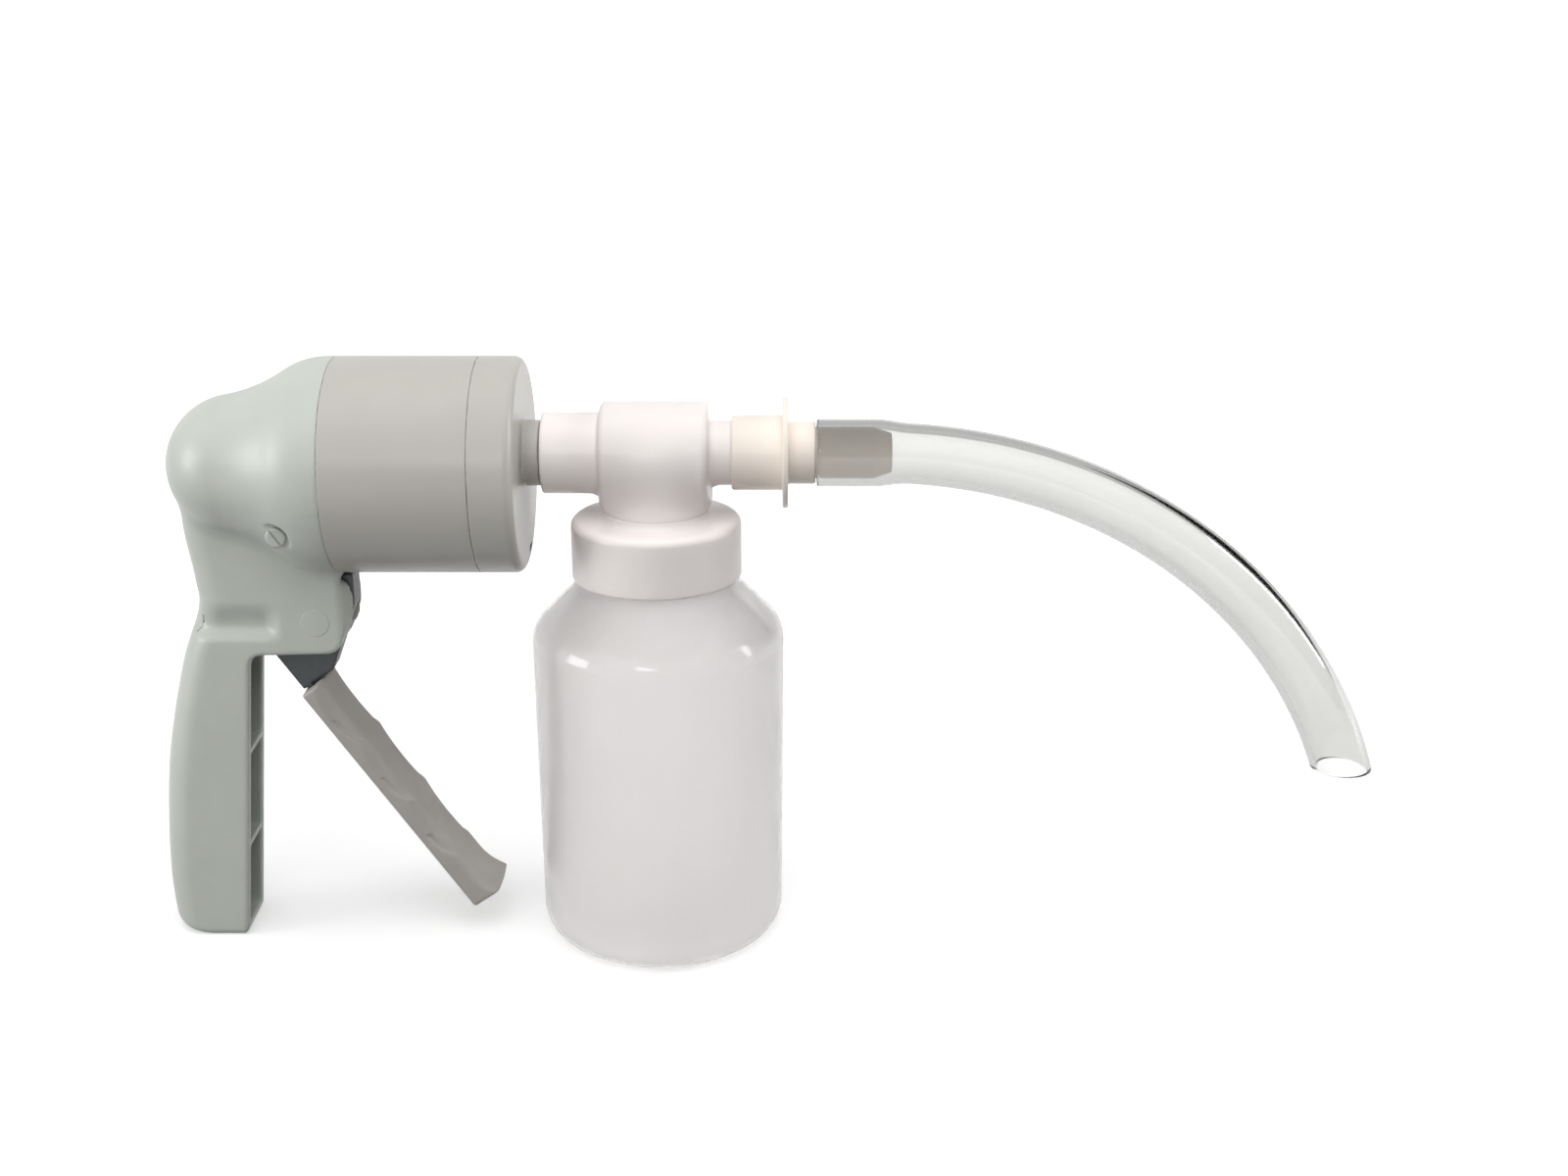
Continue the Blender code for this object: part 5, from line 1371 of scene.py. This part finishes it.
@dataclass
class Studio:
    """Pale floor, soft light and the camera."""

    camera_at: tuple[float, float, float] = (0.004, -0.49167, 0.2641)
    camera_down: float = 19.0
    lens: float = 46.8
    floor_half: float = 14.0
    floor_bounce: str = "#7e7e7e"
    floor_seen: str = "#e0e0e0"
    floor_glow: tuple[float, float] = (0.44, 1.0)
    floor_near: tuple[float, float] = (0.12, 0.75)
    sky: float = 0.12
    aim: tuple[float, float, float] = (-0.02, 0.0, 0.09)
    card_from: tuple[float, float] = (0.317, 0.381)
    card_to: tuple[float, float] = (0.551, 0.087)
    card_span: tuple[float, float] = (0.1, 0.42)
    card_colour: str = "#141414"
    lamps: tuple[Lamp, ...] = (
        Lamp("softbox_top", 0, 69, 1.1, 1.2, 1.5, 13.3, mirrored=False),
        Lamp("softbox_left", -74, 11, 1.1, 0.42, 0.42, 4.2),
        Lamp("softbox_right", 100, 18, 1.1, 0.42, 0.5, 5.0),
        Lamp("softbox_front", -9, 22, 1.1, 0.32, 0.16, 1.1),
    )

    def camera(self) -> None:
        """Stands the camera where the picture was taken from, looking along +Y and down."""
        data = bpy.data.cameras.new("camera")
        data.lens = self.lens
        obj = bpy.data.objects.new("camera", data)
        obj.location = self.camera_at
        obj.rotation_euler = (math.radians(90 - self.camera_down), 0, 0)
        bpy.context.scene.collection.objects.link(obj)
        bpy.context.scene.camera = obj

    def greater(self, tree: bpy.types.NodeTree, *sockets: bpy.types.NodeSocket) -> bpy.types.NodeSocket:
        """The greatest of some sockets, such as 1 for any of several kinds of ray."""
        most, *others = sockets
        for other in others:
            most = add(tree, "ShaderNodeMath", {0: most, 1: other}, operation="MAXIMUM").outputs[0]
        return most

    def world(self) -> None:
        """Even white sky: 1 to the camera, in a gloss or through clear plastic, and weaker as a light."""
        world = bpy.data.worlds.new("studio")
        world.use_nodes = True
        bpy.context.scene.world = world
        tree = world.node_tree
        path = add(tree, "ShaderNodeLightPath").outputs
        rays = (path[f"Is {kind} Ray"] for kind in ("Camera", "Glossy", "Transmission"))
        levels = {"Value": self.greater(tree, *rays), "To Min": self.sky, "To Max": 1.0}
        strength = add(tree, "ShaderNodeMapRange", levels).outputs["Result"]
        tree.links.new(strength, tree.nodes["Background"].inputs["Strength"])
        tree.nodes["Background"].inputs["Color"].default_value = WHITE

    def sheet(
        self, name: str, finish: str, corners: Sequence[tuple[float, float, float]]
    ) -> bpy.types.Object:
        """Hangs a flat, quite matt sheet in the studio.

        Args:
            name: name of the sheet.
            finish: name of its material.
            corners: its four corners in metres, in order.

        Returns:
            The new object.
        """
        mesh = bpy.data.meshes.new(name)
        mesh.from_pydata(corners, [], [(0, 1, 2, 3)])
        material = bpy.data.materials.new(finish)
        material.use_nodes = True
        shader = material.node_tree.nodes["Principled BSDF"]
        shader.inputs["Roughness"].default_value = 1.0
        shader.inputs["Specular IOR Level"].default_value = 0.0
        mesh.materials.append(material)
        obj = bpy.data.objects.new(name, mesh)
        bpy.context.scene.collection.objects.link(obj)
        return obj

    def floor(self) -> None:
        """Pale floor that keeps the shadow: part of its brightness is its own, part is the light on it.

        It glows more away from the object, so that it runs out into white. Clear plastic sees it plain
        white, and light that bounces off it is darker than what the camera sees.
        """
        half = self.floor_half
        corners = [(-half, -half, 0), (half, -half, 0), (half, half, 0), (-half, half, 0)]
        obj = self.sheet("floor", "floor_paper", corners)
        tree = obj.data.materials[0].node_tree
        shader = tree.nodes["Principled BSDF"]
        path = add(tree, "ShaderNodeLightPath").outputs
        seen = self.greater(tree, path["Is Camera Ray"], path["Is Glossy Ray"])
        through = path["Is Transmission Ray"]
        bounce, pale = linear(self.floor_bounce), linear(self.floor_seen)
        paper = add(tree, "ShaderNodeMix", {"Factor": seen, 6: bounce, 7: pale}, data_type="RGBA")
        blend = {"Factor": through, 6: paper.outputs[2], 7: BLACK}
        plain = add(tree, "ShaderNodeMix", blend, data_type="RGBA")
        tree.links.new(plain.outputs[2], shader.inputs["Base Color"])
        shader.inputs["Emission Color"].default_value = WHITE
        place = add(tree, "ShaderNodeTexCoord").outputs["Object"]
        away = add(tree, "ShaderNodeVectorMath", {0: place}, operation="LENGTH").outputs["Value"]
        spans = dict(zip(("From Min", "From Max", "To Min", "To Max"), (*self.floor_near, *self.floor_glow)))
        share = add(tree, "ShaderNodeMapRange", {"Value": away, **spans}, interpolation_type="SMOOTHSTEP")
        levels = {0: seen, 1: share.outputs["Result"], 2: through}
        glow = add(tree, "ShaderNodeMath", levels, operation="MULTIPLY_ADD")
        tree.links.new(glow.outputs[0], shader.inputs["Emission Strength"])

    def card(self) -> None:
        """Dark card beyond the tube, seen only in gloss and clear plastic, whose edge it draws dark."""
        (ax, ay), (bx, by), (low, top) = self.card_from, self.card_to, self.card_span
        corners = [(ax, ay, low), (bx, by, low), (bx, by, top), (ax, ay, top)]
        obj = self.sheet("dark_card", "card_black", corners)
        shader = obj.data.materials[0].node_tree.nodes["Principled BSDF"]
        shader.inputs["Base Color"].default_value = linear(self.card_colour)
        obj.visible_camera = obj.visible_diffuse = obj.visible_shadow = False

    def lights(self) -> None:
        """Hangs the softboxes round the object, where clear plastic doesn't show them."""
        for lamp in self.lamps:
            data = bpy.data.lights.new(lamp.name, "AREA")
            data.shape = "RECTANGLE"
            data.size, data.size_y, data.energy = lamp.width, lamp.height, lamp.power
            obj = bpy.data.objects.new(lamp.name, data)
            a, e = math.radians(lamp.azimuth), math.radians(lamp.elevation)
            way = np.array([math.sin(a) * math.cos(e), -math.cos(a) * math.cos(e), math.sin(e)])
            obj.location = np.array(self.aim) + lamp.distance * way
            obj.rotation_euler = (math.pi / 2 - e, 0, a)
            obj.visible_transmission = False
            obj.visible_glossy = lamp.mirrored
            bpy.context.scene.collection.objects.link(obj)

    def build(self) -> None:
        """Sets up the camera, the light and the floor."""
        self.camera()
        self.world()
        self.floor()
        self.card()
        self.lights()
        bpy.context.scene.view_settings.view_transform = "Standard"


def main() -> None:
    """Builds the studio and each sub-assembly in order."""
    logging.basicConfig(level=logging.INFO, format="%(message)s")
    datum = Datum()
    Studio().build()
    for assembly in (Housing, Cylinder, Lever, Tee, Jar, Catheter, Works):
        assembly(datum).build()


if __name__ == "__main__":
    main()
